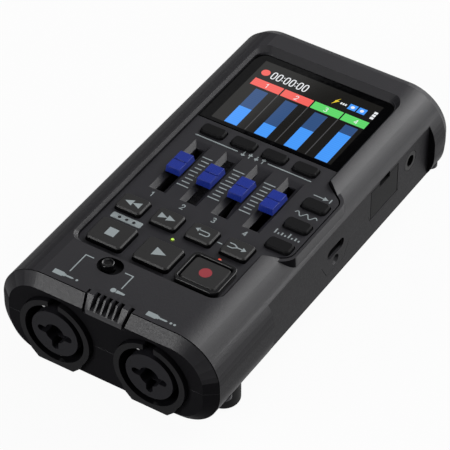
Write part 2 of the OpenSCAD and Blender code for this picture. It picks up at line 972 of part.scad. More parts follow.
// One key: its cap, the lip under the deck and the stem over its switch
module key(x, y, size, r, proud, paint) {
    soft = 0.4;
    color(paint)
    translate([x, y, 0]) {
        translate([0, 0, deck_z - lip_t])
            linear_extrude(panel_z + proud - soft - deck_z + lip_t)
                rounded(size, r);
        hull() {
            translate([0, 0, panel_z + proud - soft - thin])
                linear_extrude(thin)
                    rounded(size, r, $fn = facets);
            translate([0, 0, panel_z + proud - thin])
                linear_extrude(thin)
                    rounded(size - 2 * soft * [1, 1], r - soft, $fn = facets);
        }
        translate([0, 0, deck_z - fit - lip_t])
            linear_extrude(lip_t)
                rounded(size + 2 * key_lip * [1, 1], r);
        translate([0, 0, board_top + switch_h + key_travel + fit])
            cylinder(r = 1.4, h = deck_z - board_top - switch_h - key_travel - 2 * fit);
    }
}

module play_row_key(i) {
    key(play_x(i), row_y(play_row), play_key, 1.2, play_proud, case_color);
}

module wind_row_key(i) {
    key(wind_x(i), row_y(wind_row), wind_key, 1, wind_proud, case_color);
}

module track_row_key(i) {
    key(fader_x(i), row_y(track_row), track_key, track_r, rubber_proud, rubber_color);
}

module menu_column_key(i) {
    key(menu_x, menu_y(i), menu_key, menu_r, rubber_proud, rubber_color);
}

module key_switches() {
    places = concat(
        [for (i = [0:2]) [play_x(i), row_y(play_row)]],
        [for (i = [0:3]) [wind_x(i), row_y(wind_row)]],
        [for (i = [0:3]) [fader_x(i), row_y(track_row)]],
        [for (i = [0:2]) [menu_x, menu_y(i)]]
    );
    color(dark_color)
    for (p = places)
        translate([p.x, p.y, board_top])
            linear_extrude(switch_h)
                square(switch_w, center = true);
}

module record_frame() {
    inner = play_key + 2 * (key_gap + fit) * [1, 1];
    color(case_color)
    translate([play_x(2), row_y(play_row), panel_z])
        linear_extrude(frame_h)
            difference() {
                rounded(inner + 2 * frame_w * [1, 1], 2.2);
                rounded(inner, 1.3);
            }
}

module indicator_light(i, paint) {
    color(paint)
    translate([play_x(i) - light_dx, row_y(light_row), board_top])
        cylinder(r = light_r, h = panel_z - board_top);
}

module selector_knob() {
    color(rubber_color)
    translate([selector_x - selector_travel / 2, front_y + selector_at, 0]) {
        translate([0, 0, top_z - dish_depth + fit])
            cylinder(r = knob_r, h = dish_depth + 1 - fit);
        translate([0, 0, top_z - wall - 0.6])
            cylinder(r = stem_r, h = wall);
    }
}

module selector_body() {
    y = front_y + selector_at;
    half = selector_travel / 2 + stem_r + fit;
    color(metal_color)
    difference() {
        translate([selector_x, y, top_z - wall - fit])
            translate([-selector_case.x / 2, -selector_case.y / 2, -selector_case.z])
                cube(selector_case);
        block([selector_x - half, y - stem_r - fit, top_z - wall - 1.6],
              [selector_x + half, y + stem_r + fit, top_z]);
    }
}

module microphone_grille() {
    top = top_z + 2;
    floor_z = top_z - 1.8;
    color(case_color)
    difference() {
        grille_block(grille_proud);
        for (i = [0:grille_slots - 1])
            translate([(i - (grille_slots - 1) / 2) * grille_pitch - grille_slot_w / 2, 0, 0])
                across_x(0, grille_slot_w)
                    polygon([[face_y - 1, slot_low], [face_y - 1, top],
                             [grille_y1 + 1, top], [grille_y1 + 1, floor_z],
                             [hollow_y + 0.8, floor_z], [hollow_y + 0.8, slot_low]]);
        for (s = [-1, 1])
            rod_y(s * capsule_x, capsule_z, capsule_r + fit / 2, hollow_y + 0.5, grille_y1 + 1);
        for (s = [-1, 1])
            rod_y(s * capsule_x, slot_low, capsule_r / 3, hollow_y, grille_y1 - 0.3);
    }
}

module microphone_capsules() {
    color(metal_color)
    for (s = [-1, 1])
        rod_y(s * capsule_x, capsule_z, capsule_r, hollow_y + 0.6, grille_y1);
}

module socket_shell(s) {
    x = s * input_pitch / 2;
    color(rubber_color)
    difference() {
        union() {
            along_y(front_y, hollow_y) shell_outline(x);
            rod_y(x, axis_z, shell_r, front_y, shell_y1);
            rod_y(x, axis_z, flange_r, hollow_y + fit, hollow_y + fit + flange_t);
        }
        rod_y(x, axis_z, shell_bore_r, front_y - 1, shell_y1 - shell_back_t);
        rod_y(x, axis_z, insert_r + fit / 2, front_y - 1, shell_y1 + 1);
        block([x - latch_slot[0] / 2, front_y - 1, axis_z + insert_r + 1],
              [x + latch_slot[0] / 2, front_y + latch_slot[1], axis_z + reach]);
    }
}

module socket_insert(s) {
    x = s * input_pitch / 2;
    color(dark_color)
    difference() {
        union() {
            rod_y(x, axis_z, insert_r, front_y + 0.2, shell_y1);
            rod_y(x, axis_z, tail_bore_r, shell_y1, front_y + jack_l);
        }
        rod_y(x, axis_z, jack_r, front_y - 1, front_y + jack_l + 1);
        for (a = [0, 180, 270]) {
            pin_hole(x, a, pin_r, front_y - 1, shell_y1 - shell_back_t);
            translate([x, front_y - 1, axis_z])
                rotate([0, -a, 0])
                    translate([0, 0, -pin_r])
                        cube([pin_at, sink + 1, 2 * pin_r]);
        }
    }
}

// A round pin hole or pin at an angle round a socket's axis
module pin_hole(x, angle, r, y0, y1) {
    rod_y(x + pin_at * cos(angle), axis_z + pin_at * sin(angle), r, y0, y1);
}

module socket_contacts() {
    pin_y0 = front_y + sink + 1;
    earth_y0 = front_y + 1.6;
    color("#c9b074")
    for (s = [-1, 1]) {
        x = s * input_pitch / 2;
        for (a = [0, 180, 270])
            pin_hole(x, a, pin_r - fit, pin_y0, shell_y1 - shell_back_t);
        for (a = [120, 275])
            rod_y(x + earth_at * cos(a), axis_z + earth_at * sin(a), earth_r,
                  earth_y0, shell_y1 - shell_back_t);
    }
}

module phone_socket() {
    x1 = flat_x - phone_barrel[1];
    color(dark_color)
    difference() {
        union() {
            rod_x(phone_y, phone_z, phone_barrel[0], x1, flat_x);
            translate([flat_x - phone_l - 1, phone_y - phone_case.x / 2, phone_z - phone_drop])
                cube([x1 - flat_x + phone_l + 1, phone_case.x, phone_case.y]);
        }
        rod_x(phone_y, phone_z, phone_r, flat_x - phone_l, flat_x + 1);
    }
}

module card_socket() {
    half = card_slot_w / 2;
    side = 0.5;
    color(metal_color)
    difference() {
        block([pad_x - card_deep, port_y - half - side, board_top],
              [pad_x - fit, port_y + half + side, board_top + card_h]);
        block([pad_x - card_deep + 1, port_y - half, card_z - card_slot_h / 2],
              [inside_x, port_y + half, card_z + card_slot_h / 2]);
    }
}

module port_cover() {
    color(rubber_color)
    difference() {
        intersection() {
            port_space();
            along_y(nose_y, tail_y) outline();
        }
        block([flat_x, front_y, bottom_z], [flat_x + 2 * reach, rear_y, top_z]);
        finger_slot();
    }
}

module data_socket() {
    x1 = flat_x - 0.6;
    shell_t = 0.3;
    blade = [6.7, 0.7];
    color(metal_color) {
        difference() {
            across_x(x1 - data_deep, x1)
                pill(data_y, data_z, data_shell);
            across_x(x1 - data_deep + 1, x1 + 1)
                pill(data_y, data_z, data_shell - 2 * shell_t * [1, 1]);
        }
        translate([x1 - data_deep + 0.5, data_y - blade.x / 2, data_z - blade.y / 2])
            cube([data_deep - 1.5, blade.x, blade.y]);
    }
}

module power_knob() {
    y = power_y - power_travel / 2;
    color(rubber_color) {
        block([-half_w + 0.1, y - 3, power_z - 1.4], [-half_w + 1.4, y + 3, power_z + 1.4]);
        block([-half_w + 1, y - 0.9, power_z - 0.6], [-inside_x + 1.4, y + 0.9, power_z + 0.6]);
    }
}

module power_body() {
    half = power_travel / 2 + 1.2;
    color(metal_color)
    difference() {
        translate([-inside_x + 0.4, power_y - power_case[1] / 2, split_z + 0.6])
            cube([power_case[0], power_case[1], board_z - split_z - 0.6]);
        block([-inside_x, power_y - half, power_z - 0.9], [-inside_x + 2, power_y + half, power_z + 0.9]);
    }
}

module volume_wheel() {
    color(rubber_color)
    translate([wheel_x, wheel_y, wheel_z - wheel_t / 2])
        difference() {
            cylinder(r = wheel_r, h = wheel_t);
            translate([0, 0, -1])
                cylinder(r = 1.6, h = wheel_t + 2);
            for (a = [0:10:350])
                rotate([0, 0, a])
                    translate([wheel_r + 0.2, 0, -1])
                        cylinder(r = 0.5, h = wheel_t + 2, $fn = 16);
        }
}

module volume_body() {
    z0 = wheel_z - wheel_t / 2 - fit;
    flange = 0.6;
    color(metal_color)
    translate([wheel_x, wheel_y, z0 - flange]) {
        cylinder(r = 1.5, h = board_z - z0 + flange);
        cylinder(r = 2.8, h = flange);
    }
}

module battery_door() {
    color(case_color)
    difference() {
        intersection() {
            case_solid();
            along_y(door_y0, rear_y + 1) door_section();
        }
        for (k = [0:3])
            block([-6, rear_y - 16 + 2 * k, bottom_z - 1], [6, rear_y - 15 + 2 * k, bottom_z + 0.5]);
    }
}

module battery_cells() {
    nub = 1.2;
    color("#8a8f98")
    for (i = [0:3])
        mirror([0, i % 2, 0])
            translate([0, i % 2 == 1 ? -cell_y0 - cell_y1 : 0, 0]) {
                rod_y((i - 1.5) * cell_pitch, cell_z, cell_d / 2, cell_y0, cell_y1 - nub);
                rod_y((i - 1.5) * cell_pitch, cell_z, nub_r, cell_y1 - nub, cell_y1);
            }
}

module battery_contacts() {
    color(metal_color)
    for (i = [0:3]) {
        x = (i - 1.5) * cell_pitch;
        for (side = [0, 1]) {
            y = side == 0 ? cell_y0 - contact_gap - contact_t : cell_y1 + contact_gap;
            translate([x - contact_w / 2, y, cell_z - contact_w / 2])
                cube([contact_w, contact_t, contact_w]);
            rod_y(x, cell_z, spring_r, side == 0 ? y + contact_t : cell_y1, side == 0 ? cell_y0 : y);
        }
    }
}

// One round foot, cut to the underside
module foot(x, y) {
    edge = 1.2;
    difference() {
        translate([x, y, 0])
            rotate_extrude() {
                square([foot_r - edge, foot_h + 4]);
                translate([0, edge])
                    square([foot_r, foot_h + 4 - edge]);
                translate([foot_r - edge, edge])
                    circle(edge);
            }
        along_y(nose_y, tail_y) outline();
    }
}

module front_feet() {
    color(rubber_color)
    for (s = [-1, 1])
        foot(s * foot_x, front_y + foot_front);
}

module door_feet() {
    color(rubber_color)
    for (s = [-1, 1])
        foot(s * door_foot_x, rear_y - door_foot_at);
}

module case_screws() {
    color(metal_color)
    for (s = [-1, 1], y = screw_ends)
        translate([s * screw_x, y, 0]) {
            difference() {
                translate([0, 0, head_z - head_h])
                    cylinder(r = head_r, h = head_h);
                for (a = [0, 90])
                    rotate([0, 0, a])
                        block([-1.3, -0.3, head_z - head_h - 1], [1.3, 0.3, head_z - head_h + 0.6]);
            }
            translate([0, 0, head_z])
                cylinder(r = screw_r, h = screw_top - head_z);
        }
}

top_cover();
bottom_cover();
control_panel();
screen_lens();
display_module();
main_board();
fader_bodies();
key_switches();
record_frame();
indicator_light(1, "#6fd04a");  // play_light
indicator_light(2, "#d0453a");  // record_light
for (i = [0:3]) {
    fader_lever(i);
    fader_cap(i);
    track_row_key(i);
}
wind_row_key(0);  // rewind_key
wind_row_key(1);  // forward_key
wind_row_key(2);  // undo_key
wind_row_key(3);  // bounce_key
play_row_key(0);  // stop_key
play_row_key(1);  // play_key
play_row_key(2);  // record_key
menu_column_key(0);  // rhythm_key
menu_column_key(1);  // effect_key
menu_column_key(2);  // input_key
selector_knob();
selector_body();
microphone_grille();
microphone_capsules();
socket_shell(-1);  // socket_shell_a
socket_shell(1);  // socket_shell_b
socket_insert(-1);  // socket_insert_a
socket_insert(1);  // socket_insert_b
socket_contacts();
phone_socket();
card_socket();
port_cover();
data_socket();
power_knob();
power_body();
volume_wheel();
volume_body();
battery_door();
battery_cells();
battery_contacts();
front_feet();
door_feet();
case_screws();
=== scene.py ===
import json
import math

import bmesh
import bpy
from mathutils import Matrix, Quaternion, Vector

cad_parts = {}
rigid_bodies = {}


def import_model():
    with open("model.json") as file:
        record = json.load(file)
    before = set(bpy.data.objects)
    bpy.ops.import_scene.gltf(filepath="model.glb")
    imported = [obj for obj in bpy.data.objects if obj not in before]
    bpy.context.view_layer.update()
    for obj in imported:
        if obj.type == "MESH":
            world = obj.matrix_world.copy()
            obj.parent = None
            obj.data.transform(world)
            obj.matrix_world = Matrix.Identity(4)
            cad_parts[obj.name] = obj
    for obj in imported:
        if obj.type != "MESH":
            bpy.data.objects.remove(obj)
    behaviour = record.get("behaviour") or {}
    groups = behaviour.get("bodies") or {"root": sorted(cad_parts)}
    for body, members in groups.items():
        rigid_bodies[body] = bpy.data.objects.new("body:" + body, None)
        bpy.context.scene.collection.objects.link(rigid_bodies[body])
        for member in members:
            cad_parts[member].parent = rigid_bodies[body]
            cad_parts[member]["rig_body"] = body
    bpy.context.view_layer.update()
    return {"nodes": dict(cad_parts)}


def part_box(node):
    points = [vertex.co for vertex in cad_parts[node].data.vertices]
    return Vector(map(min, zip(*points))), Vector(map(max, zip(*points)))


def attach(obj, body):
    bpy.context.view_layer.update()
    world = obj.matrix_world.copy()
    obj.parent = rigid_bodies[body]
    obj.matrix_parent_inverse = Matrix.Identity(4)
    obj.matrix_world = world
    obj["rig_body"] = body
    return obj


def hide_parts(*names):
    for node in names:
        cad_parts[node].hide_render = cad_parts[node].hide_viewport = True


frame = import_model()
nodes = frame["nodes"]
scene = bpy.context.scene
scene.view_settings.view_transform = "Standard"
mm = 0.001
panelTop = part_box("control_panel")[1].z / mm
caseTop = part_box("top_cover")[1].z / mm
print("frame loaded,", len(nodes), "nodes")


# finishes

def startMaterial(name):
    material = bpy.data.materials.new(name)
    material.use_nodes = True
    tree = material.node_tree
    coords = tree.nodes.new("ShaderNodeTexCoord").outputs["Object"]
    return material, tree, tree.nodes["Principled BSDF"], coords


def noise(tree, coords, scale, detail=2.0):
    node = tree.nodes.new("ShaderNodeTexNoise")
    node.inputs["Scale"].default_value = scale
    node.inputs["Detail"].default_value = detail
    tree.links.new(coords, node.inputs["Vector"])
    return node.outputs["Fac"]


def ramp(tree, fac, low, high, start=0.3, end=0.7):
    node = tree.nodes.new("ShaderNodeValToRGB")
    node.color_ramp.elements[0].position = start
    node.color_ramp.elements[1].position = end
    node.color_ramp.elements[0].color = (*low, 1)
    node.color_ramp.elements[1].color = (*high, 1)
    tree.links.new(fac, node.inputs["Fac"])
    return node.outputs["Color"]


def spread(tree, fac, low, high):
    node = tree.nodes.new("ShaderNodeMapRange")
    node.inputs["From Min"].default_value = 0.3
    node.inputs["From Max"].default_value = 0.7
    node.inputs["To Min"].default_value = low
    node.inputs["To Max"].default_value = high
    tree.links.new(fac, node.inputs["Value"])
    return node.outputs["Result"]


def bump(tree, shader, height, strength, distance):
    node = tree.nodes.new("ShaderNodeBump")
    node.inputs["Strength"].default_value = strength
    node.inputs["Distance"].default_value = distance
    tree.links.new(height, node.inputs["Height"])
    tree.links.new(node.outputs["Normal"], shader.inputs["Normal"])


# moulded plastic or rubber: slow mottle in the colour, fine moulded grain in gloss and surface
mouldedLook = {"mottleScale": 70, "gloss": (-0.05, 0.06), "bump": 0.03 * mm}


def moulded(name, colour, rough, grain, depth, mottle, ior):
    material, tree, shader, coords = startMaterial(name)
    slow = noise(tree, coords, mouldedLook["mottleScale"], 3)
    fine = noise(tree, coords, grain)
    low = [c * (1 - mottle) for c in colour]
    high = [c * (1 + mottle) for c in colour]
    less, more = mouldedLook["gloss"]
    tree.links.new(ramp(tree, slow, low, high), shader.inputs["Base Color"])
    tree.links.new(spread(tree, fine, rough + less, rough + more), shader.inputs["Roughness"])
    shader.inputs["IOR"].default_value = ior
    bump(tree, shader, fine, depth, mouldedLook["bump"])
    return material


# plated or blackened metal with fine drawn streaks
metalLook = {"streak": (900, 900, 90), "grain": 4, "dark": 0.9, "gloss": (-0.06, 0.08), "depth": 0.12,
             "bump": 0.01 * mm}


def metal(name, colour, rough):
    material, tree, shader, coords = startMaterial(name)
    mapping = tree.nodes.new("ShaderNodeMapping")
    mapping.inputs["Scale"].default_value = metalLook["streak"]
    tree.links.new(coords, mapping.inputs["Vector"])
    grain = noise(tree, mapping.outputs["Vector"], metalLook["grain"], 3)
    dark = [c * metalLook["dark"] for c in colour]
    less, more = metalLook["gloss"]
    tree.links.new(ramp(tree, grain, dark, colour), shader.inputs["Base Color"])
    tree.links.new(spread(tree, grain, rough + less, rough + more), shader.inputs["Roughness"])
    shader.inputs["Metallic"].default_value = 1
    bump(tree, shader, grain, metalLook["depth"], metalLook["bump"])
    return material


# a lit patch of the screen: emission in fine pixel rows, under a glossy face
pixelLook = {"rows": 390, "dark": 0.93, "rowEdge": (0.1, 0.6), "base": (0.003, 0.003, 0.0035, 1), "patches": 90,
             "gloss": (0.05, 0.08)}


def litScreen(name, colour):
    material, tree, shader, coords = startMaterial(name)
    wave = tree.nodes.new("ShaderNodeTexWave")
    wave.bands_direction = "Y"
    wave.inputs["Scale"].default_value = pixelLook["rows"]
    tree.links.new(coords, wave.inputs["Vector"])
    dark = [c * pixelLook["dark"] for c in colour]
    lit = ramp(tree, wave.outputs["Fac"], dark, colour, *pixelLook["rowEdge"])
    tree.links.new(lit, shader.inputs["Emission Color"])
    shader.inputs["Emission Strength"].default_value = 1
    shader.inputs["Base Color"].default_value = pixelLook["base"]
    gloss = spread(tree, noise(tree, coords, pixelLook["patches"]), *pixelLook["gloss"])
    tree.links.new(gloss, shader.inputs["Roughness"])
    return material


# a small lamp seen through a clear pipe, brighter in patches
lampLook = {"patches": 1600, "glow": (0.8, 1.0), "base": (0.4, 0.5), "rough": 0.2}


def lamp(name, colour, strength=1.0):
    material, tree, shader, coords = startMaterial(name)
    patches = noise(tree, coords, lampLook["patches"], 1)
    for key, socket in (("glow", "Emission Color"), ("base", "Base Color")):
        low, high = ([c * share for c in colour] for share in lampLook[key])
        tree.links.new(ramp(tree, patches, low, high), shader.inputs[socket])
    shader.inputs["Emission Strength"].default_value = strength
    shader.inputs["Roughness"].default_value = lampLook["rough"]
    return material


# the case's grained plastic, with painted shade: darker copies of it for faces that look less far up or further
# left:
# (slope, shade, index of refraction)
caseColourAndPaintedShade = {
    "colour": (0.0250, 0.0243, 0.0273),
    "up": ((0.85, 0.94, 1.335), (0.70, 0.88, 1.315), (0.55, 0.8, 1.287), (0.42, 0.72, 1.245),
           (0.30, 0.66, 1.195), (0.2, 0.6, 1.155), (0.1, 0.6, 1.13)),
    "left": ((-0.08, 0.9, 1.26), (-0.25, 0.8, 1.19), (-0.42, 0.7, 1.13), (-0.6, 0.6, 1.095)),
}


def casePlastic(name, shade, rough, ior):
    colour = [c * shade for c in caseColourAndPaintedShade["colour"]]
    return moulded(name, colour, rough, grain=2200, depth=0.8, mottle=0.05, ior=ior)


# painted shade: one darker copy of the case plastic for each step
def plasticSteps(name, key, rough):
    return [(slope, casePlastic(name + str(i), shade, rough, ior))
            for i, (slope, shade, ior) in enumerate(caseColourAndPaintedShade[key])]


topPlastic = casePlastic("topPlastic", shade=1.0, rough=0.40, ior=1.363)
# painted shade on the case: darker copies of its plastic for steep faces, left-facing faces and front faces
paintedShadeSlopePlastic = plasticSteps("paintedShadeSlopePlastic", "up", rough=0.41)
paintedShadeLeftPlastic = plasticSteps("paintedShadeLeftPlastic", "left", rough=0.43)
paintedShadeFrontPlastic = casePlastic("paintedShadeFrontPlastic", shade=0.35, rough=0.45, ior=1.04)
panelPlastic = moulded("panelPlastic", (0.0150, 0.0145, 0.0180),
                       rough=0.46, grain=4600, depth=0.35, mottle=0.05, ior=1.42)
keyPlastic = moulded("keyPlastic", (0.0165, 0.0162, 0.0164),
                     rough=0.44, grain=5200, depth=0.25, mottle=0.05, ior=1.42)
framePlastic = moulded("framePlastic", (0.0070, 0.0070, 0.0076),
                       rough=0.30, grain=6000, depth=0.2, mottle=0.06, ior=1.42)
rubber = moulded("rubber", (0.0050, 0.0050, 0.0056),
                 rough=0.58, grain=5200, depth=0.3, mottle=0.08, ior=1.2)
socketPlastic = moulded("socketPlastic", (0.0056, 0.0054, 0.0064),
                        rough=0.36, grain=6500, depth=0.2, mottle=0.06, ior=1.14)
insertPlastic = moulded("insertPlastic", (0.0115, 0.0112, 0.0135),
                        rough=0.5, grain=6500, depth=0.2, mottle=0.06, ior=1.15)
blackPlastic = moulded("blackPlastic", (0.0026, 0.0026, 0.0030),
                       rough=0.34, grain=6500, depth=0.2, mottle=0.08, ior=1.2)
knobPlastic = moulded("knobPlastic", (0.0028, 0.0028, 0.0032),
                      rough=0.28, grain=6500, depth=0.1, mottle=0.08, ior=1.4)
blueCap = moulded("blueCap", (0.0100, 0.0260, 0.2350),
                  rough=0.30, grain=7000, depth=0.18, mottle=0.06, ior=1.38)
lensGloss = moulded("lensGloss", (0.0015, 0.0015, 0.0018),
                    rough=0.06, grain=900, depth=0.01, mottle=0.1, ior=1.24)
palePrint = moulded("palePrint", (0.27, 0.305, 0.315),
                    rough=0.55, grain=8000, depth=0.1, mottle=0.06, ior=1.3)
redPrint = moulded("redPrint", (0.29, 0.040, 0.050),
                   rough=0.5, grain=8000, depth=0.1, mottle=0.06, ior=1.3)
boardMask = moulded("boardMask", (0.015, 0.09, 0.05),
                    rough=0.35, grain=1800, depth=0.2, mottle=0.12, ior=1.5)
cellSleeve = moulded("cellSleeve", (0.16, 0.18, 0.22),
                     rough=0.3, grain=2500, depth=0.1, mottle=0.1, ior=1.5)
plated = metal("plated", (0.62, 0.62, 0.63), rough=0.32)
blackened = metal("blackened", (0.030, 0.030, 0.033), rough=0.42)
screenDark = litScreen("screenDark", (0.0085, 0.0080, 0.0066))
screenGrey = litScreen("screenGrey", (0.075, 0.075, 0.078))
screenWhite = litScreen("screenWhite", (0.86, 0.88, 0.9))
screenRed = litScreen("screenRed", (0.93, 0.135, 0.115))
screenGreen = litScreen("screenGreen", (0.125, 0.70, 0.155))
screenBlue = litScreen("screenBlue", (0.065, 0.33, 0.98))
screenDim = litScreen("screenDim", (0.032, 0.085, 0.225))
screenYellow = litScreen("screenYellow", (0.85, 0.62, 0.04))
greenLamp = lamp("greenLamp", (0.50, 0.80, 0.10))
greenRim = lamp("greenRim", (0.060, 0.085, 0.004))
redLamp = lamp("redLamp", (0.85, 0.09, 0.05), strength=0.9)
redRim = lamp("redRim", (0.14, 0.012, 0.006))
print("finishes made")


# shapes

def finished(obj, body, slot, *replaced):
    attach(obj, body)
    if replaced:
        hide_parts(*replaced)
    return obj


def addObject(name, mesh, material):
    mesh.materials.clear()
    mesh.materials.append(material)
    obj = bpy.data.objects.new(name, mesh)
    scene.collection.objects.link(obj)
    return obj


# the mesh of an object with its modifiers, as a plain mesh
def bakedMesh(obj):
    bpy.context.view_layer.update()
    graph = bpy.context.evaluated_depsgraph_get()
    return bpy.data.meshes.new_from_object(obj.evaluated_get(graph))


def roundOff(bm, sides, size, segments):
    bmesh.ops.bevel(bm, geom=sides, offset=size * mm, offset_type="OFFSET", segments=segments,
                    profile=0.5, affect="EDGES", clamp_overlap=True)


def sharpEdges(bm, angle):
    return [e for e in bm.edges
            if len(e.link_faces) == 2 and e.calc_face_angle(0) > math.radians(angle)]


# a CAD node's own shape with merged corners, small rounded edges and smooth shading;
# first holds larger rounds: (lowest corner, highest corner, size) in mm for the edges inside that box
dressLook = {"weld": 0.002 * mm, "flatAngle": 0.3, "firstSegments": 3}


def dress(node, material, slot, edge, segments=2, angle=35, sharp=40, first=()):
    source = nodes[node]
    mesh = source.data.copy()
    mesh.name = node + "Look"
    if "custom_normal" in mesh.attributes:
        mesh.attributes.remove(mesh.attributes["custom_normal"])
    bm = bmesh.new()
    bm.from_mesh(mesh)
    bmesh.ops.remove_doubles(bm, verts=bm.verts, dist=dressLook["weld"])
    bmesh.ops.dissolve_limit(bm, angle_limit=math.radians(dressLook["flatAngle"]), verts=bm.verts,
                             edges=bm.edges)
    for low, high, size in first:
        inside = [e for e in sharpEdges(bm, angle)
                  if all(a * mm <= c <= b * mm for v in e.verts for a, c, b in zip(low, v.co, high))]
        roundOff(bm, inside, size, dressLook["firstSegments"])
    if edge:
        roundOff(bm, sharpEdges(bm, angle), edge, segments)
    for face in bm.faces:
        face.smooth = True
    for line in bm.edges:
        line.smooth = line.calc_face_angle(0) < math.radians(sharp)
    bm.to_mesh(mesh)
    bm.free()
    obj = addObject(node + "Look", mesh, material)
    weighted = obj.modifiers.new("weighted", "WEIGHTED_NORMAL")
    weighted.keep_sharp = True
    mesh = bakedMesh(obj)
    obj.modifiers.clear()
    obj.data = mesh
    return finished(obj, source["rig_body"], slot, node)


# paints shade: gives the faces that look less far along an axis than a slope another, darker material, the
# steepest last
def slopeFinish(obj, steps, axis="z", inside=None):
    for slope, material in steps:
        index = len(obj.data.materials)
        obj.data.materials.append(material)
        for face in obj.data.polygons:
            if getattr(face.normal, axis) < slope and (inside is None or inside(face)):
                face.material_index = index


# true round shading on the long shoulders, whose facets are uneven slivers, and even shading on square faces
shoulderLook = {"square": 0.9999, "largeArea": 20 * mm * mm, "inward": -0.05, "offRound": 0.03, "alike": 0.96}


def roundShoulders(obj, x, z, r):
    mesh = obj.data
    normals = [corner.vector.copy() for corner in mesh.corner_normals]
    square = [max(abs(c) for c in face.normal) > shoulderLook["square"]
              and face.area > shoulderLook["largeArea"] for face in mesh.polygons]
    borders = {key for face in mesh.polygons if square[face.index] for key in face.edge_keys}
    for line in mesh.edges:
        if line.key in borders:
            line.use_edge_sharp = True
    for face in mesh.polygons:
        for i in face.loop_indices:
            if square[face.index]:
                normals[i] = face.normal
                continue
            spot = mesh.vertices[mesh.loops[i].vertex_index].co / mm
            out = Vector((abs(spot.x) - x, 0, spot.z - z))
            if out.x < shoulderLook["inward"] or abs(out.length - r) > shoulderLook["offRound"]:
                continue
            out.x = math.copysign(out.x, spot.x)
            out.normalize()
            if out.dot(face.normal) > shoulderLook["alike"]:
                normals[i] = out
    mesh.normals_split_custom_set(normals)


# a round piece turned from a profile of (radius, height) in mm
def turned(name, profile, x, y, material, body, slot, node, count=48, sharp=40):
    bm = bmesh.new()
    rings = []
    for r, z in profile:
        steps = count if r else 1
        angles = [i * math.tau / count for i in range(steps)]
        rings.append([bm.verts.new(((x + r * math.cos(a)) * mm, (y + r * math.sin(a)) * mm, z * mm))
                      for a in angles])
    for low, high in zip(rings, rings[1:]):
        for i in range(count):
            j = (i + 1) % count
            if len(low) == 1:
                bm.faces.new((low[0], high[j], high[i]))
            elif len(high) == 1:
                bm.faces.new((low[i], low[j], high[0]))
            else:
                bm.faces.new((low[i], low[j], high[j], high[i]))
    bmesh.ops.recalc_face_normals(bm, faces=bm.faces)
    for face in bm.faces:
        face.smooth = True
    for line in bm.edges:
        line.smooth = line.calc_face_angle(0) < math.radians(sharp)
    mesh = bpy.data.meshes.new(name)
    bm.to_mesh(mesh)
    bm.free()
    return finished(addObject(name, mesh, material), body, slot, node)


# flat print: outlines and bands, from a little below the surface to a little above it, in mm
markLook = {"sink": 0.02, "height": 0.03, "overlap": 0.004}


def mark(name, shapes, z, material, body, slot, height=markLook["height"], place=None):
    bm = bmesh.new()
    for shape in shapes:
        rise = shape.get("lift", 0) if isinstance(shape, dict) else 0
        low, high = (z - markLook["sink"]) * mm, (z + height + rise) * mm

        def pair(p):
            return [bm.verts.new((p[0] * mm, p[1] * mm, level)) for level in (low, high)]

        if isinstance(shape, dict):
            left = [pair(p) for p in shape["left"]]
            right = [pair(p) for p in shape["right"]]
            count = len(left)
            for i in range(count if shape["closed"] else count - 1):
                j = (i + 1) % count
                bm.faces.new((left[i][1], right[i][1], right[j][1], left[j][1]))
                bm.faces.new((left[i][0], left[j][0], right[j][0], right[i][0]))
                bm.faces.new((left[i][0], left[i][1], left[j][1], left[j][0]))
                bm.faces.new((right[i][0], right[j][0], right[j][1], right[i][1]))
            if not shape["closed"]:
                for i in (0, count - 1):
                    bm.faces.new((left[i][0], right[i][0], right[i][1], left[i][1]))
        else:
            ring = [pair(p) for p in shape]
            bm.faces.new([p[1] for p in ring])
            bm.faces.new([p[0] for p in ring[::-1]])
            for i in range(len(ring)):
                j = (i + 1) % len(ring)
                bm.faces.new((ring[i][0], ring[j][0], ring[j][1], ring[i][1]))
    bmesh.ops.recalc_face_normals(bm, faces=bm.faces)
    mesh = bpy.data.meshes.new(name)
    bm.to_mesh(mesh)
    bm.free()
    if place is not None:
        mesh.transform(place)
    return finished(addObject(name, mesh, material), body, slot)


def rect(x0, x1, y0, y1):
    return [(x0, y0), (x1, y0), (x1, y1), (x0, y1)]


def arc(x, y, r, start, end, count=16):
    angles = [math.radians(start + (end - start) * i / count) for i in range(count + 1)]
    return [(x + r * math.cos(a), y + r * math.sin(a)) for a in angles]


def disc(x, y, r, count=32):
    return arc(x, y, r, 0, 360, count)[:-1]


def roundRect(x0, x1, y0, y1, r, count=6):
    corners = ((x1 - r, y1 - r), (x0 + r, y1 - r), (x0 + r, y0 + r), (x1 - r, y0 + r))
    return [point for i, (x, y) in enumerate(corners) for point in arc(x, y, r, 90 * i, 90 * i + 90, count)]


def triangle(x, y, w, h):
    return [(x - w / 2, y - h / 2), (x + w / 2, y), (x - w / 2, y + h / 2)]


def arrow(x, y, w, h):
    return [(x + w / 2, y - h / 2), (x + w / 2, y + h / 2), (x - w / 2, y)]


# a line of even width through points, its corners no longer than the mitre allows
def band(points, width, closed=False, lift=0, mitre=0.5):
    left, right = [], []
    count = len(points)
    for i in range(count):
        here = Vector(points[i])
        before = Vector(points[i - 1]) if i or closed else None
        after = Vector(points[(i + 1) % count]) if i < count - 1 or closed else None
        a = (here - before).normalized() if before is not None else (after - here).normalized()
        b = (after - here).normalized() if after is not None else a
        side = Vector((-(a + b).y, (a + b).x)).normalized()
        reach = width / 2 / max(mitre, side.dot(Vector((-a.y, a.x))))
        left.append(tuple(here + side * reach))
        right.append(tuple(here - side * reach))
    return {"left": left, "right": right, "closed": closed, "lift": lift}


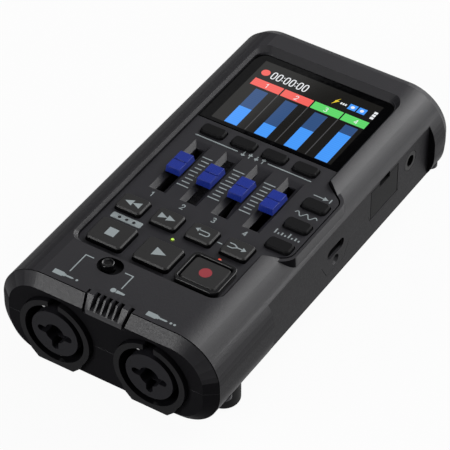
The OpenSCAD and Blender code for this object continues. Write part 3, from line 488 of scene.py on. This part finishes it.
# plain figures drawn with a pen of even width, on a box one wide and one high
figureLines = {
    "0": [[(0.5 + 0.5 * math.copysign(abs(math.cos(a)) ** 0.6, math.cos(a)),
            0.5 + 0.5 * math.copysign(abs(math.sin(a)) ** 0.75, math.sin(a)))
           for a in (i * math.tau / 28 + 0.01 for i in range(28))]],
    "1": [[(0.15, 0.76), (0.62, 1.0), (0.62, 0.0)]],
    "2": [[(0.03, 0.73), (0.10, 0.90), (0.30, 1.0), (0.62, 1.0), (0.87, 0.91), (0.96, 0.74), (0.88, 0.56),
           (0.0, 0.0), (1.0, 0.0)]],
    "3": [[(0.03, 0.84), (0.22, 0.97), (0.52, 1.0), (0.82, 0.93), (0.92, 0.77), (0.80, 0.60), (0.46, 0.53),
           (0.84, 0.44), (0.98, 0.25), (0.86, 0.07), (0.52, 0.0), (0.20, 0.03), (0.0, 0.15)]],
    "4": [[(0.72, 0.0), (0.72, 1.0)], [(0.72, 1.0), (0.0, 0.27), (1.0, 0.27)]],
}
colonDots = (0.28, 0.72)


def figures(words, x, y, width, height, pen, gap=0):
    shapes = []
    for letter in words:
        if letter == ":":
            middles = [y + height * share for share in colonDots]
            shapes += [rect(x, x + pen, middle - pen / 2, middle + pen / 2) for middle in middles]
            x += pen + gap
            continue
        for k, line in enumerate(figureLines[letter]):
            points = [(x + pen / 2 + px * (width - pen), y + pen / 2 + py * (height - pen)) for px, py in line]
            shapes.append(band(points, pen, letter == "0", markLook["overlap"] * k))
        x += width + gap
    return shapes


# case

# boxes in mm, some with the size of the rounds in them; face and the values that end in Up or Front limit the
# normal of faces with painted shade
caseLook = {
    "edge": 0.12,
    "ledge": ((24, -30, 26), (36, 20, 36.5), 0.4),
    "rims": ((-36, -66, 34), (36, 66, 40), 0.22),
    "joint": ((-36, -66, 21.2), (36, 66, 21.6), 0.2),
    "flatEnd": ((33, 48, 4), (36.4, 60, 33), 1.0),
    "sharp": 28,
    "shoulder": (21.6, 23.0, 14.0),
    "ledgeWall": ((24, -31, 31.2), (36, 20, 40)),
    "ledgeWallUp": 0.75,
    "ledgeWallFront": -0.2,
    "face": -0.35,
    "faceUp": 0.12,
    "dish": ((-12.0, -52.6, 33.0), (-3.6, -45.8, 36.85)),
    "anyUp": 2,
}


def inBox(face, box):
    return all(a <= c <= b for a, c, b in zip(box[0], face.center / mm, box[1]))


def onLedge(face):
    return inBox(face, caseLook["ledgeWall"]) and face.normal.z < caseLook["ledgeWallUp"]


def offLedge(face):
    return not onLedge(face)


def onFront(face):
    return face.normal.z < caseLook["faceUp"]


def inDish(face):
    return inBox(face, caseLook["dish"])


topLook = dress("top_cover", topPlastic, "case_plastic", caseLook["edge"], sharp=caseLook["sharp"],
                first=[caseLook[key] for key in ("flatEnd", "ledge", "rims", "joint")])
bottomLook = dress("bottom_cover", topPlastic, "case_plastic", caseLook["edge"], sharp=caseLook["sharp"],
                   first=[caseLook["joint"]])
roundShoulders(topLook, *caseLook["shoulder"])
# painted shade on both covers: darker plastic on steep, left-facing and front-facing faces and on the front walls
# of the ledge
for cover in (topLook, bottomLook):
    slopeFinish(cover, paintedShadeSlopePlastic, "z", offLedge)
    slopeFinish(cover, paintedShadeLeftPlastic, "x")
    slopeFinish(cover, [(caseLook["face"], paintedShadeFrontPlastic)], "y", onFront)
    slopeFinish(cover, [(caseLook["ledgeWallFront"], paintedShadeFrontPlastic)], "y", onLedge)
# painted shade: the faces in the selector switch's dish on the top cover are black
slopeFinish(topLook, [(caseLook["anyUp"], blackPlastic)], "z", inDish)

# pieces on the case: node, finish, slot, rounding of the edges in mm
casePieces = (
    ("battery_door", topPlastic, "case_plastic", 0.12),
    ("control_panel", panelPlastic, "panel_plastic", 0.12),
    ("screen_lens", lensGloss, "screen_glass", 0.15),
    ("microphone_grille", topPlastic, "case_plastic", 0),
    ("port_cover", rubber, "black_rubber", 0.15),
    ("power_knob", blackPlastic, "black_plastic", 0.15),
    ("volume_wheel", blackPlastic, "black_plastic", 0.1),
    ("phone_socket", blackPlastic, "black_plastic", 0.12),
    ("case_screws", blackened, "plated_steel", 0.06),
    ("front_feet", rubber, "black_rubber", 0),
    ("door_feet", rubber, "black_rubber", 0),
)
for name, finish, slot, edge in casePieces:
    dress(name, finish, slot, edge)
print("case dressed")

# keys

keyLook = {"edge": 0.28, "rubberEdge": 0.32, "frameEdge": 0.3, "segments": 3, "angle": 20, "shadedSideUp": 0.35}
plasticKeys = ["rewind_key", "forward_key", "undo_key", "bounce_key", "stop_key", "play_key", "record_key"]
rubberKeys = ["track_key_1", "track_key_2", "track_key_3", "track_key_4", "rhythm_key", "effect_key",
              "input_key"]
for name in plasticKeys:
    key = dress(name, keyPlastic, "key_plastic", keyLook["edge"], keyLook["segments"], keyLook["angle"])
    # painted shade: the steep sides of the plastic keys are black
    slopeFinish(key, [(keyLook["shadedSideUp"], blackPlastic)])
for name in rubberKeys:
    dress(name, rubber, "black_rubber", keyLook["rubberEdge"], keyLook["segments"], keyLook["angle"])
dress("record_frame", framePlastic, "case_plastic", keyLook["frameEdge"], keyLook["segments"])
print("keys dressed")

# signs on the keys, drawn about the middle of each key in mm
pen = 0.36
undoLine = [(-0.6, -0.75)] + arc(1.5, 0, 0.75, -90, 90, 10) + [(-1.5, 0.75)]
bounceLine = [(-2.9, 0.8), (-1.3, 0.8), (0, 0), (1.6, 0)]
bounceBranch = [(-2.9, -0.8), (-1.3, -0.8), (0, 0)]
keySigns = {
    "stop": [rect(-1.55, 1.55, -1.6, 1.6)],
    "play": [triangle(0.6, 0, 3.9, 3.5)],
    "record": [disc(0, 0, 1.85, 40)],
    "rewind": [arrow(x, 0, 2.6, 2.4) for x in (-1.3, 1.3)],
    "forward": [triangle(x, 0, 2.6, 2.4) for x in (-1.3, 1.3)],
    "undo": [band(undoLine, pen), arrow(-2.0, 0.75, 1.3, 1.7)],
    "bounce": [band(bounceLine, pen), band(bounceBranch, pen, lift=markLook["overlap"]),
               triangle(2.2, 0, 1.4, 1.8)],
}
for name, shapes in keySigns.items():
    low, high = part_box(name + "_key")
    middle = Matrix.Translation(((low.x + high.x) / 2, (low.y + high.y) / 2, 0))
    mark(name + "Mark", shapes, high.z / mm, redPrint if name == "record" else palePrint, name + "_key",
         "key_plastic", place=middle)
print("key marks made")

# faders

faderLook = {"count": 4, "edge": 0.3, "segments": 3, "angle": 20}
for i in range(1, faderLook["count"] + 1):
    dress("fader_cap_%d" % i, blueCap, "blue_plastic", faderLook["edge"], faderLook["segments"],
          faderLook["angle"])
print("faders dressed")

# front

knobLook = {"r": 2.0, "edge": 0.35, "dish": 0.2, "stem": 0.6, "height": 2.4, "taper": 0.1, "ring": 0.35,
            "roundSteps": (0.4, 0.8, 1.2, math.pi / 2)}
low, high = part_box("selector_knob")
x, y = (low.x + high.x) / 2 / mm, (low.y + high.y) / 2 / mm
foot, top = low.z / mm, high.z / mm
r, e, stem = knobLook["r"], knobLook["edge"], knobLook["stem"]
under, hollow, upper = top - knobLook["height"], top - knobLook["dish"], r - knobLook["taper"]
knobProfile = [(0, foot), (stem, foot), (stem, under), (r - e, under), (r, under + e), (upper, top - e)]
knobProfile += [(upper - e * (1 - math.cos(a)), top - e + e * math.sin(a)) for a in knobLook["roundSteps"]]
knobProfile += [(r - e - knobLook["ring"], hollow), (stem, hollow), (0, hollow)]
turned("selectorKnobLook", knobProfile, x, y, knobPlastic, nodes["selector_knob"]["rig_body"], "black_plastic",
       "selector_knob")

socketLook = {"x": {"a": -15.6, "b": 15.6}, "shellEdge": 0.3, "shellSegments": 3, "insertEdge": 0.12,
              "numbers": {"1": (5.4, 1.9), "2": (-6.5, 1.9), "3": (-3.4, -5.8)}, "numberSize": (0.7, 1.2),
              "pen": 0.16}
for side in socketLook["x"]:
    dress("socket_shell_" + side, socketPlastic, "black_plastic", socketLook["shellEdge"],
          socketLook["shellSegments"])
    dress("socket_insert_" + side, insertPlastic, "black_plastic", socketLook["insertEdge"])
upright = Matrix.Rotation(math.radians(90), 4, "X")
for side, x in socketLook["x"].items():
    low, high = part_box("socket_insert_" + side)
    z = (low.z + high.z) / 2 / mm
    shapes = []
    for number, (dx, dz) in socketLook["numbers"].items():
        shapes += figures(number, x + dx, z + dz, *socketLook["numberSize"], socketLook["pen"])
    mark("pinNumbers" + side.upper(), shapes, -low.y / mm, blackPlastic, "case", "black_plastic", place=upright)
print("front dressed")

# panel print

printLook = {
    "numberX": (-15.9, -5.55, 4.85, 15.2), "numberY": -17.5, "numberSize": (1.35, 2.2), "numberPen": 0.3,
    "lineX": ((-19.7, -5.3), (4.9, 19.4)), "lineY": (12.0, 12.4),
    "sliders": ((-3.3, 11.7), (-1.1, 12.6), (1.1, 12.0), (3.3, 12.8)), "sliderY": (11.2, 13.4),
    "sliderHalf": 0.16, "sliderKnob": (0.62, 0.28), "sliderRise": 0.034,
    "label": (-20.8, -10.8, -30.5, -28.2, 0.4), "labelDotX": (-18.2, -15.8, -13.4), "labelDotY": -29.35,
    "labelDot": 0.5,
    "dash": (10.5, 12.2, -23.65, -23.3),
    "inputLine": (22.9, 26.4, 7.68, 8.02), "inputTip": (27.0, 7.85, 1.6, 1.7),
    "inputEnd": (28.3, 28.68, 6.95, 8.75),
    "waveX": 22.1, "waveY": -1.1, "waveLength": 7.2, "waveHeight": 0.78, "waves": 2.5, "waveSteps": 40,
    "wavePen": 0.3,
    "beats": (1.9, 0.7, 1.2, 0.7, 1.9, 0.7, 1.2, 0.7), "beatX": 21.6, "beatY": -11.6, "beatPitch": 1.1,
    "beatWidth": 0.45,
}


def panelPrint(name, shapes, material=palePrint, lift=0, height=markLook["height"]):
    mark(name, shapes, panelTop + lift, material, "case", "panel_plastic", height)


w, h = printLook["numberSize"]
for i, x in enumerate(printLook["numberX"], 1):
    number = figures(str(i), x - w / 2, printLook["numberY"], w, h, printLook["numberPen"])
    panelPrint("trackNumber%d" % i, number)
panelPrint("trackLines", [rect(*x, *printLook["lineY"]) for x in printLook["lineX"]])
half = printLook["sliderHalf"]
panelPrint("trackSign", [rect(x - half, x + half, *printLook["sliderY"]) for x, y in printLook["sliders"]])
w, h = printLook["sliderKnob"]
panelPrint("trackSignKnobs", [rect(x - w, x + w, y - h, y + h) for x, y in printLook["sliders"]],
           height=printLook["sliderRise"])
panelPrint("stopLabel", [roundRect(*printLook["label"])])
panelPrint("stopLabelDots", [disc(x, printLook["labelDotY"], printLook["labelDot"], 16)
                             for x in printLook["labelDotX"]], panelPlastic, lift=markLook["height"])
panelPrint("lightDash", [rect(*printLook["dash"])])
panelPrint("inputSign", [rect(*printLook["inputLine"]), triangle(*printLook["inputTip"]),
                         rect(*printLook["inputEnd"])])
shares = [i / printLook["waveSteps"] for i in range(printLook["waveSteps"] + 1)]
wave = [(printLook["waveX"] + printLook["waveLength"] * share,
         printLook["waveY"] + printLook["waveHeight"] * math.sin(share * math.tau * printLook["waves"]))
        for share in shares]
panelPrint("effectSign", [band(wave, printLook["wavePen"])])
starts = [printLook["beatX"] + i * printLook["beatPitch"] for i in range(len(printLook["beats"]))]
panelPrint("rhythmSign", [rect(x, x + printLook["beatWidth"], printLook["beatY"], printLook["beatY"] + beat)
                          for x, beat in zip(starts, printLook["beats"])])


# rows of scale ticks beside the faders, long ones at the ends and the middle
longEvery = 4


def tickTree(material):
    tree = bpy.data.node_groups.new("faderScale", "GeometryNodeTree")
    for label, kind in (("Columns", "Int"), ("Column Pitch", "Float"), ("Ticks", "Int"),
                        ("Tick Pitch", "Float"), ("Long", "Float"), ("Short", "Float"), ("Width", "Float"),
                        ("Height", "Float")):
        tree.interface.new_socket(label, in_out="INPUT", socket_type="NodeSocket" + kind)
    tree.interface.new_socket("Geometry", in_out="OUTPUT", socket_type="NodeSocketGeometry")
    add, link = tree.nodes.new, tree.links.new
    sizes = add("NodeGroupInput").outputs

    def line(count, pitch, axis):
        step = add("ShaderNodeCombineXYZ")
        link(pitch, step.inputs[axis])
        row = add("GeometryNodeMeshLine")
        link(count, row.inputs["Count"])
        link(step.outputs["Vector"], row.inputs["Offset"])
        return row.outputs["Mesh"]

    fourth = add("ShaderNodeMath")
    fourth.operation = "MODULO"
    link(add("GeometryNodeInputIndex").outputs["Index"], fourth.inputs[0])
    fourth.inputs[1].default_value = longEvery
    isShort = add("ShaderNodeMath")
    isShort.operation = "GREATER_THAN"
    isShort.inputs[1].default_value = 0.5
    link(fourth.outputs[0], isShort.inputs[0])
    length = add("ShaderNodeMix")
    link(isShort.outputs[0], length.inputs[0])
    link(sizes["Long"], length.inputs[2])
    link(sizes["Short"], length.inputs[3])
    scale = add("ShaderNodeCombineXYZ")
    link(length.outputs[0], scale.inputs["X"])
    link(sizes["Width"], scale.inputs["Y"])
    link(sizes["Height"], scale.inputs["Z"])
    tick = add("GeometryNodeMeshCube")
    tick.inputs["Size"].default_value = (1, 1, 1)
    ticks = add("GeometryNodeInstanceOnPoints")
    link(line(sizes["Ticks"], sizes["Tick Pitch"], "Y"), ticks.inputs["Points"])
    link(tick.outputs["Mesh"], ticks.inputs["Instance"])
    link(scale.outputs["Vector"], ticks.inputs["Scale"])
    columns = add("GeometryNodeInstanceOnPoints")
    link(line(sizes["Columns"], sizes["Column Pitch"], "X"), columns.inputs["Points"])
    link(ticks.outputs["Instances"], columns.inputs["Instance"])
    real = add("GeometryNodeRealizeInstances")
    link(columns.outputs["Instances"], real.inputs["Geometry"])
    paint = add("GeometryNodeSetMaterial")
    paint.inputs["Material"].default_value = material
    link(real.outputs["Geometry"], paint.inputs["Geometry"])
    link(paint.outputs["Geometry"], add("NodeGroupOutput").inputs["Geometry"])
    return tree


scaleLook = {"Columns": 3, "Column Pitch": 10.4 * mm, "Ticks": 9, "Tick Pitch": -1.69 * mm, "Long": 3.8 * mm,
             "Short": 2.6 * mm, "Width": 0.38 * mm, "Height": 0.05 * mm}
scalePlace = (-10.6 * mm, 4.75 * mm, (panelTop + 0.005) * mm)


def madeByNodes(name, tree, values, place, material):
    holder = addObject(name, bpy.data.meshes.new(name), material)
    modifier = holder.modifiers.new("nodes", "NODES")
    modifier.node_group = tree
    for item in tree.interface.items_tree:
        if item.item_type == "SOCKET" and item.in_out == "INPUT":
            modifier[item.identifier] = values[item.name]
    mesh = bakedMesh(holder)
    holder.modifiers.clear()
    mesh.transform(Matrix.Translation(place))
    holder.data = mesh
    mesh.materials.clear()
    mesh.materials.append(material)
    return holder


faderScales = madeByNodes("faderScales", tickTree(palePrint), scaleLook, scalePlace, palePrint)
finished(faderScales, "case", "panel_plastic")
print("panel print made")

# print on the front zone

# plug: steps of (distance from its end, half width), then the length to its tip
frontLook = {
    "pen": 0.36,
    "brackets": (((-13.3, -49.05), (-16.0, -49.05), (-16.0, -56.9)),
                 ((-2.8, -49.4), (-0.1, -49.4), (-0.1, -55.2))),
    "plugs": ((-20.0, -58.85), (10.9, -59.2)),
    "plugSteps": ((0, 0.85), (3.2, 0.85), (3.2, 0.55), (3.9, 0.55), (3.9, 0.3), (6.2, 0.3)),
    "plugTip": 6.7, "dotStart": 7.7, "dotPitch": 1.2, "dot": 0.4,
    "head": (-1.7, -56.75, 0.85), "grip": ((-0.7, 0.6), (2.0, 0.3)),
}


def frontPrint(name, shapes):
    mark(name, shapes, caseTop, palePrint, "case", "case_plastic")


frontPrint("frontBrackets", [band(points, frontLook["pen"]) for points in frontLook["brackets"]])
steps = frontLook["plugSteps"]
for count, (x, y) in enumerate(frontLook["plugs"], 1):
    plug = [(x + d, y - w) for d, w in steps] + [(x + frontLook["plugTip"], y)]
    plug += [(x + d, y + w) for d, w in steps[::-1]]
    dotX = [x + frontLook["dotStart"] + i * frontLook["dotPitch"] for i in range(count)]
    frontPrint("plugSign%d" % count, [plug] + [disc(start, y, frontLook["dot"], 20) for start in dotX])
x, y, r = frontLook["head"]
(near, wide), (far, slim) = frontLook["grip"]
frontPrint("microphoneSign", [disc(x, y, r, 24),
                              [(near, y - wide), (far, y - slim), (far, y + slim), (near, y + wide)]])
print("front print made")

# screen

screenLook = {
    "field": (-20.2, 20.3, 21.4, 51.8), "thick": 0.02, "step": 0.03,
    "bars": ((-15.9, -11.7, 30.0), (-5.7, -1.5, 27.2), (4.4, 8.7, 31.2), (14.8, 19.0, 35.2)),
    "barFoot": 21.6, "barTop": 39.2, "lineX": (-8.8, 1.5, 11.7), "lineTop": 40.0, "lineHalf": 0.12,
    "tabY": (40.2, 43.5), "redTabs": ((-18.7, -8.8), (-8.3, 1.5)), "greenTabs": ((2.0, 11.7), (12.2, 20.3)),
    "tabNumbers": (-13.8, -3.5, 6.6, 16.8), "tabNumberY": 40.8, "tabNumberSize": (1.2, 2.0), "tabPen": 0.2,
    "record": (-17.3, 46.95, 1.4),
    "clockAt": (-15.2, 45.3), "clockSize": (1.55, 3.4), "clockPen": 0.34, "clockGap": 0.34,
    "bolt": ((6.6, 46.9), (7.9, 48.6), (7.2, 47.3), (8.0, 47.3), (6.3, 45.2), (6.8, 46.7)),
    "dashX": (8.6, 9.35, 10.1), "dashLength": 0.5, "dashY": (46.4, 47.2),
    "squares": ((11.4, 14.0), (14.5, 17.1)), "squareY": (45.6, 48.1), "squareDots": 0.6,
    "chargeX": (19.2, 20.3), "chargeY": (45.2, 46.5, 47.8), "chargeHeight": 0.95,
}
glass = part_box("screen_lens")[1].z / mm
mark("screenField", [rect(*screenLook["field"])], glass, screenDark, "case", "display", screenLook["thick"])


def lit(name, outlines, material, layer=1):
    mark(name, outlines, glass + layer * screenLook["step"], material, "case", "display", screenLook["thick"])


foot, half = screenLook["barFoot"], screenLook["lineHalf"]
lit("meterBack", [rect(x0, x1, foot, screenLook["barTop"]) for x0, x1, top in screenLook["bars"]], screenDim)
lit("meterBars", [rect(x0, x1, foot, top) for x0, x1, top in screenLook["bars"]], screenBlue, 2)
lit("meterLines", [rect(x - half, x + half, foot, screenLook["lineTop"]) for x in screenLook["lineX"]],
    screenGrey)
for name, material in (("redTabs", screenRed), ("greenTabs", screenGreen)):
    lit(name, [rect(*x, *screenLook["tabY"]) for x in screenLook[name]], material)
w, h = screenLook["tabNumberSize"]
for i, x in enumerate(screenLook["tabNumbers"], 1):
    shapes = figures(str(i), x - w / 2, screenLook["tabNumberY"], w, h, screenLook["tabPen"])
    lit("tabNumber%d" % i, shapes, screenWhite, 2)
lit("recordDot", [disc(*screenLook["record"])], screenRed)
lit("timeFigures", figures("00:00:00", *screenLook["clockAt"], *screenLook["clockSize"], screenLook["clockPen"],
                           screenLook["clockGap"]), screenWhite)
lit("powerBolt", [screenLook["bolt"]], screenYellow)
lit("levelDashes", [rect(x, x + screenLook["dashLength"], *screenLook["dashY"]) for x in screenLook["dashX"]],
    screenWhite)
lit("linkSquares", [rect(*x, *screenLook["squareY"]) for x in screenLook["squares"]], screenBlue)
middle = sum(screenLook["squareY"]) / 2
lit("linkDots", [disc(sum(x) / 2, middle, screenLook["squareDots"], 20) for x in screenLook["squares"]],
    screenWhite, 2)
lit("chargeBlocks", [rect(*screenLook["chargeX"], y, y + screenLook["chargeHeight"])
                     for y in screenLook["chargeY"]], screenWhite)
print("screen made")

# remaining CAD nodes keep their shape

kept = {
    blackened: ["data_socket"],
    plated: ["card_socket", "power_body", "volume_body", "battery_contacts", "socket_contacts"],
    boardMask: ["main_board"],
    cellSleeve: ["battery_cells"],
    blackPlastic: ["key_switches", "fader_bodies", "selector_body", "microphone_capsules", "fader_lever_1",
                   "fader_lever_2", "fader_lever_3", "fader_lever_4"],
    screenDark: ["display_module"],
}
for material, names in kept.items():
    for name in names:
        nodes[name].data.materials.clear()
        nodes[name].data.materials.append(material)
print("inner pieces painted")

# indicator lights: clear pipes with a low dome, bright in the middle
lightLook = {"dome": 0.3, "core": 0.42, "domeSteps": (0.5, 0.9, 1.2),
             "lights": (("play_light", greenLamp, greenRim, "green_light"),
                        ("record_light", redLamp, redRim, "red_light"))}
for node, core, rim, slot in lightLook["lights"]:
    low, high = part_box(node)
    middle = (low + high) / 2
    r, foot, top = (high.x - low.x) / 2 / mm, low.z / mm, high.z / mm
    rise = lightLook["dome"] * r
    profile = [(0, foot), (r, foot), (r, top)]
    profile += [(r * math.cos(a), top + rise * math.sin(a)) for a in lightLook["domeSteps"]]
    profile.append((0, top + rise))
    pipe = turned(node + "Look", profile, middle.x / mm, middle.y / mm, core, "case", slot, node)
    pipe.data.materials.append(rim)
    for face in pipe.data.polygons:
        if (face.center - middle).xy.length > lightLook["core"] * mm or face.center.z < top * mm:
            face.material_index = 1
print("lights made")

# floor, light and camera

floorLook = {"half": 4, "paper": (0.50, 0.52), "patches": 6, "rough": 0.9, "specular": 0.1, "seenWhite": 0.95}
half = floorLook["half"]
floorMesh = bpy.data.meshes.new("floor")
corners = [(-half, -half, 0), (half, -half, 0), (half, half, 0), (-half, half, 0)]
floorMesh.from_pydata(corners, [], [(0, 1, 2, 3)])
floorMaterial, tree, shader, coords = startMaterial("floorPaper")
low, high = ([tone] * 3 for tone in floorLook["paper"])
paper = ramp(tree, noise(tree, coords, floorLook["patches"]), low, high)
tree.links.new(paper, shader.inputs["Base Color"])
shader.inputs["Roughness"].default_value = floorLook["rough"]
shader.inputs["Specular IOR Level"].default_value = floorLook["specular"]
path = tree.nodes.new("ShaderNodeLightPath").outputs
white = tree.nodes.new("ShaderNodeEmission")
white.inputs["Strength"].default_value = 1


def maths(operation, first, second):
    node = tree.nodes.new("ShaderNodeMath")
    node.operation = operation
    for socket, value in zip(node.inputs, (first, second)):
        if isinstance(value, float):
            socket.default_value = value
        else:
            tree.links.new(value, socket)
    return node.outputs[0]


seen = maths("MAXIMUM", path["Is Camera Ray"], path["Is Glossy Ray"])
seen = maths("MAXIMUM", seen, path["Is Transmission Ray"])
mixed = tree.nodes.new("ShaderNodeMixShader")
tree.links.new(maths("MULTIPLY", seen, floorLook["seenWhite"]), mixed.inputs["Fac"])
tree.links.new(shader.outputs[0], mixed.inputs[1])
tree.links.new(white.outputs[0], mixed.inputs[2])
tree.links.new(mixed.outputs[0], tree.nodes["Material Output"].inputs["Surface"])
addObject("floor", floorMesh, floorMaterial)

worldLook = {"colour": (0.97, 0.98, 1.0, 1), "strength": 0.02}
world = bpy.data.worlds.new("studio")
scene.world = world
world.use_nodes = True
sky = world.node_tree.nodes["Background"].inputs
sky["Color"].default_value = worldLook["colour"]
sky["Strength"].default_value = worldLook["strength"]

# soft boxes: direction from the object, distance and size in metres, roll in degrees, power in watts
aim = Vector((0, 0, 0.02))
boxes = {
    "overheadBox": ((0.10, -0.10, 1.0), 1.3, (0.8, 0.8), 0, 3.0),
    "rightHighBox": ((0.75, 0.35, 0.60), 1.2, (0.6, 0.6), 0, 2.2),
    "rightRearBox": ((0.40, 0.62, 0.68), 1.2, (0.6, 0.6), 0, 4.8),
    "rightLowBox": ((0.80, 0.60, 0.15), 1.2, (0.6, 0.3), 0, 3.6),
    "leftFrontBox": ((-0.40, -0.82, 0.41), 1.2, (0.45, 0.4), 0, 8.0),
    "rearBox": ((0.20, 0.85, 0.45), 1.2, (0.7, 0.6), 0, 9.9),
    "rearLeftCard": ((-0.542, 0.702, 0.462), 1.275, (0.6, 0.8), -59.7, 0.8),
}
for name, (direction, distance, size, roll, power) in boxes.items():
    light = bpy.data.lights.new(name, "AREA")
    light.shape = "RECTANGLE"
    light.size, light.size_y = size
    light.energy = power
    box = bpy.data.objects.new(name, light)
    away = Vector(direction).normalized()
    box.location = away * distance + aim
    spin = Quaternion((0, 0, 1), math.radians(roll))
    box.rotation_euler = ((-away).to_track_quat("-Z", "Y") @ spin).to_euler()
    scene.collection.objects.link(box)

view = {"target": (8.56, -16.36, 35.0), "turn": 32.47, "tilt": 42.2, "distance": 797.3, "lens": 228.14,
        "sensor": 36}
camera = bpy.data.cameras.new("camera")
camera.sensor_width = view["sensor"]
camera.lens = view["lens"]
turn, tilt = math.radians(view["turn"]), math.radians(view["tilt"])
away = Vector((math.cos(tilt) * math.sin(turn), -math.cos(tilt) * math.cos(turn), math.sin(tilt)))
cameraObject = bpy.data.objects.new("camera", camera)
cameraObject.location = (Vector(view["target"]) + away * view["distance"]) * mm
cameraObject.rotation_euler = (-away).to_track_quat("-Z", "Y").to_euler()
scene.collection.objects.link(cameraObject)
scene.camera = cameraObject
print("floor, light and camera set")
